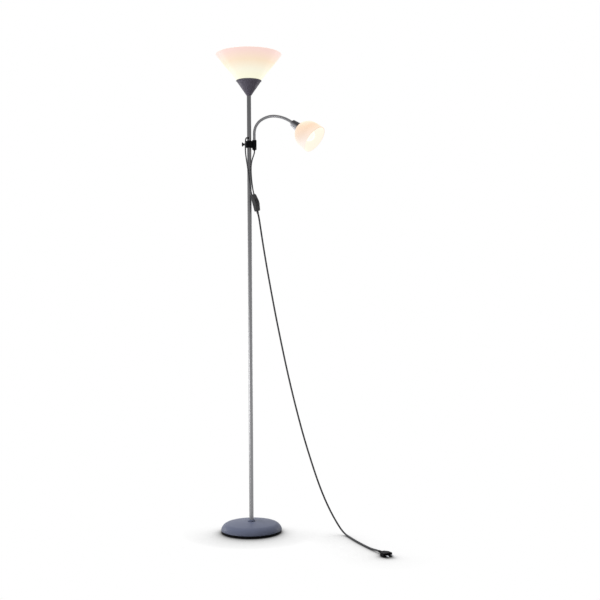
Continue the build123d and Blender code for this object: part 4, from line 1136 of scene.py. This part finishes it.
class LAMP_OT_stage(LampOperator):
    """Set up the pale floor, the soft lights and the camera"""

    bl_idname = "lamp.stage"
    bl_label = "Stage"

    def execute(self, context):
        scene = bpy.context.scene
        scene.view_settings.view_transform = "Standard"
        self.floor()
        self.world(scene)
        for light in LIGHTS:
            self.light(*light)
        camera = bpy.data.cameras.new("camera")
        camera.sensor_width = SENSOR
        camera.lens = SENSOR * FOCAL_PIXELS / PICTURE_PIXELS
        eye = bpy.data.objects.new("camera", camera)
        eye.location = CAMERA_PLACE
        eye.rotation_euler = (math.pi / 2, math.radians(CAMERA_ROLL), 0)
        scene.collection.objects.link(eye)
        scene.camera = eye
        return {"FINISHED"}

    def floor(self):
        """A floor that shows white, with a soft contact shadow under the lamp."""
        signs = ((-1, -1), (1, -1), (1, 1), (-1, 1))
        corners = np.array([(x * FLOOR_REACH, y * FLOOR_REACH, 0) for x, y in signs])
        floor = new_piece("floor", corners, [(0, 1, 2, 3)])
        material, shader = new_material("pale_floor")
        tree = material.node_tree
        shader.inputs["Base Color"].default_value = (FLOOR_GREY, FLOOR_GREY, FLOOR_GREY, 1)
        shader.inputs["Roughness"].default_value = 1
        shader.inputs["Specular IOR Level"].default_value = 0
        shadow = tree.nodes.new("ShaderNodeAmbientOcclusion")
        shadow.inputs["Distance"].default_value = SHADOW_REACH
        shadow.samples = SHADOW_SAMPLES
        depth = math_node(tree, "POWER", SHADOW_POWER)
        lean = tree.nodes.new("ShaderNodeCombineXYZ")
        lean.inputs["Y"].default_value = math.sin(SHADOW_LEAN)
        lean.inputs["Z"].default_value = math.cos(SHADOW_LEAN)
        tree.links.new(lean.outputs[0], shadow.inputs["Normal"])
        shown = tree.nodes.new("ShaderNodeEmission")
        tree.links.new(shadow.outputs["AO"], depth.inputs[0])
        tree.links.new(depth.outputs[0], shown.inputs["Strength"])
        mix = backdrop_light(tree, shader, shown)
        tree.links.new(mix.outputs[0], tree.nodes["Material Output"].inputs["Surface"])
        floor.data.materials.append(material)

    def world(self, scene):
        """A room that shows white and lights the lamp faintly."""
        world = bpy.data.worlds.new("studio")
        world.use_nodes = True
        tree = world.node_tree
        plain, shown = tree.nodes["Background"], tree.nodes.new("ShaderNodeBackground")
        for background, strength in ((plain, WALL_LIGHT), (shown, 1.0)):
            background.inputs["Color"].default_value = (1, 1, 1, 1)
            background.inputs["Strength"].default_value = strength
        mix = backdrop_light(tree, plain, shown)
        tree.links.new(mix.outputs[0], tree.nodes["World Output"].inputs["Surface"])
        scene.world = world

    def light(self, name, place, power, width, mirrored):
        """A square area light that faces the lamp's middle."""
        light = bpy.data.lights.new(name, "AREA")
        light.energy = power
        light.size = width
        lamp = bpy.data.objects.new(name, light)
        lamp.location = place
        lamp.visible_glossy = mirrored
        aim = LIGHT_AIM - np.array(place)
        tilt = math.atan2(math.hypot(aim[0], aim[1]), -aim[2])
        lamp.rotation_euler = (tilt, 0, math.atan2(aim[1], aim[0]) - math.pi / 2)
        bpy.context.scene.collection.objects.link(lamp)


# --- Panel and registration -------------------------------------------------------------------

OPERATORS = [
    LAMP_OT_base,
    LAMP_OT_pole,
    LAMP_OT_uplight,
    LAMP_OT_gooseneck,
    LAMP_OT_reading_head,
    LAMP_OT_leads,
    LAMP_OT_fittings,
    LAMP_OT_stage,
]


class LAMP_PT_panel(bpy.types.Panel):
    """The lamp's sizes, colours and pieces"""

    bl_idname = "LAMP_PT_panel"
    bl_label = "Floor Lamp"
    bl_space_type = "VIEW_3D"
    bl_region_type = "UI"
    bl_category = "Lamp"

    def draw(self, context):
        for group in (context.scene.lamp_sizes, context.scene.lamp_colours):
            box = self.layout.box()
            for name in group.__annotations__:
                box.prop(group, name)
        for operator in OPERATORS:
            self.layout.operator(operator.bl_idname)


def register():
    for group in (LampSizes, LampColours, *OPERATORS, LAMP_PT_panel):
        bpy.utils.register_class(group)
    bpy.types.Scene.lamp_sizes = PointerProperty(type=LampSizes)
    bpy.types.Scene.lamp_colours = PointerProperty(type=LampColours)


def unregister():
    del bpy.types.Scene.lamp_colours
    del bpy.types.Scene.lamp_sizes
    for group in (LAMP_PT_panel, *reversed(OPERATORS), LampColours, LampSizes):
        bpy.utils.unregister_class(group)


def main():
    register()
    for operator in OPERATORS:
        category, name = operator.bl_idname.split(".")
        getattr(getattr(bpy.ops, category), name)()
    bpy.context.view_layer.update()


if __name__ == "__main__":
    main()
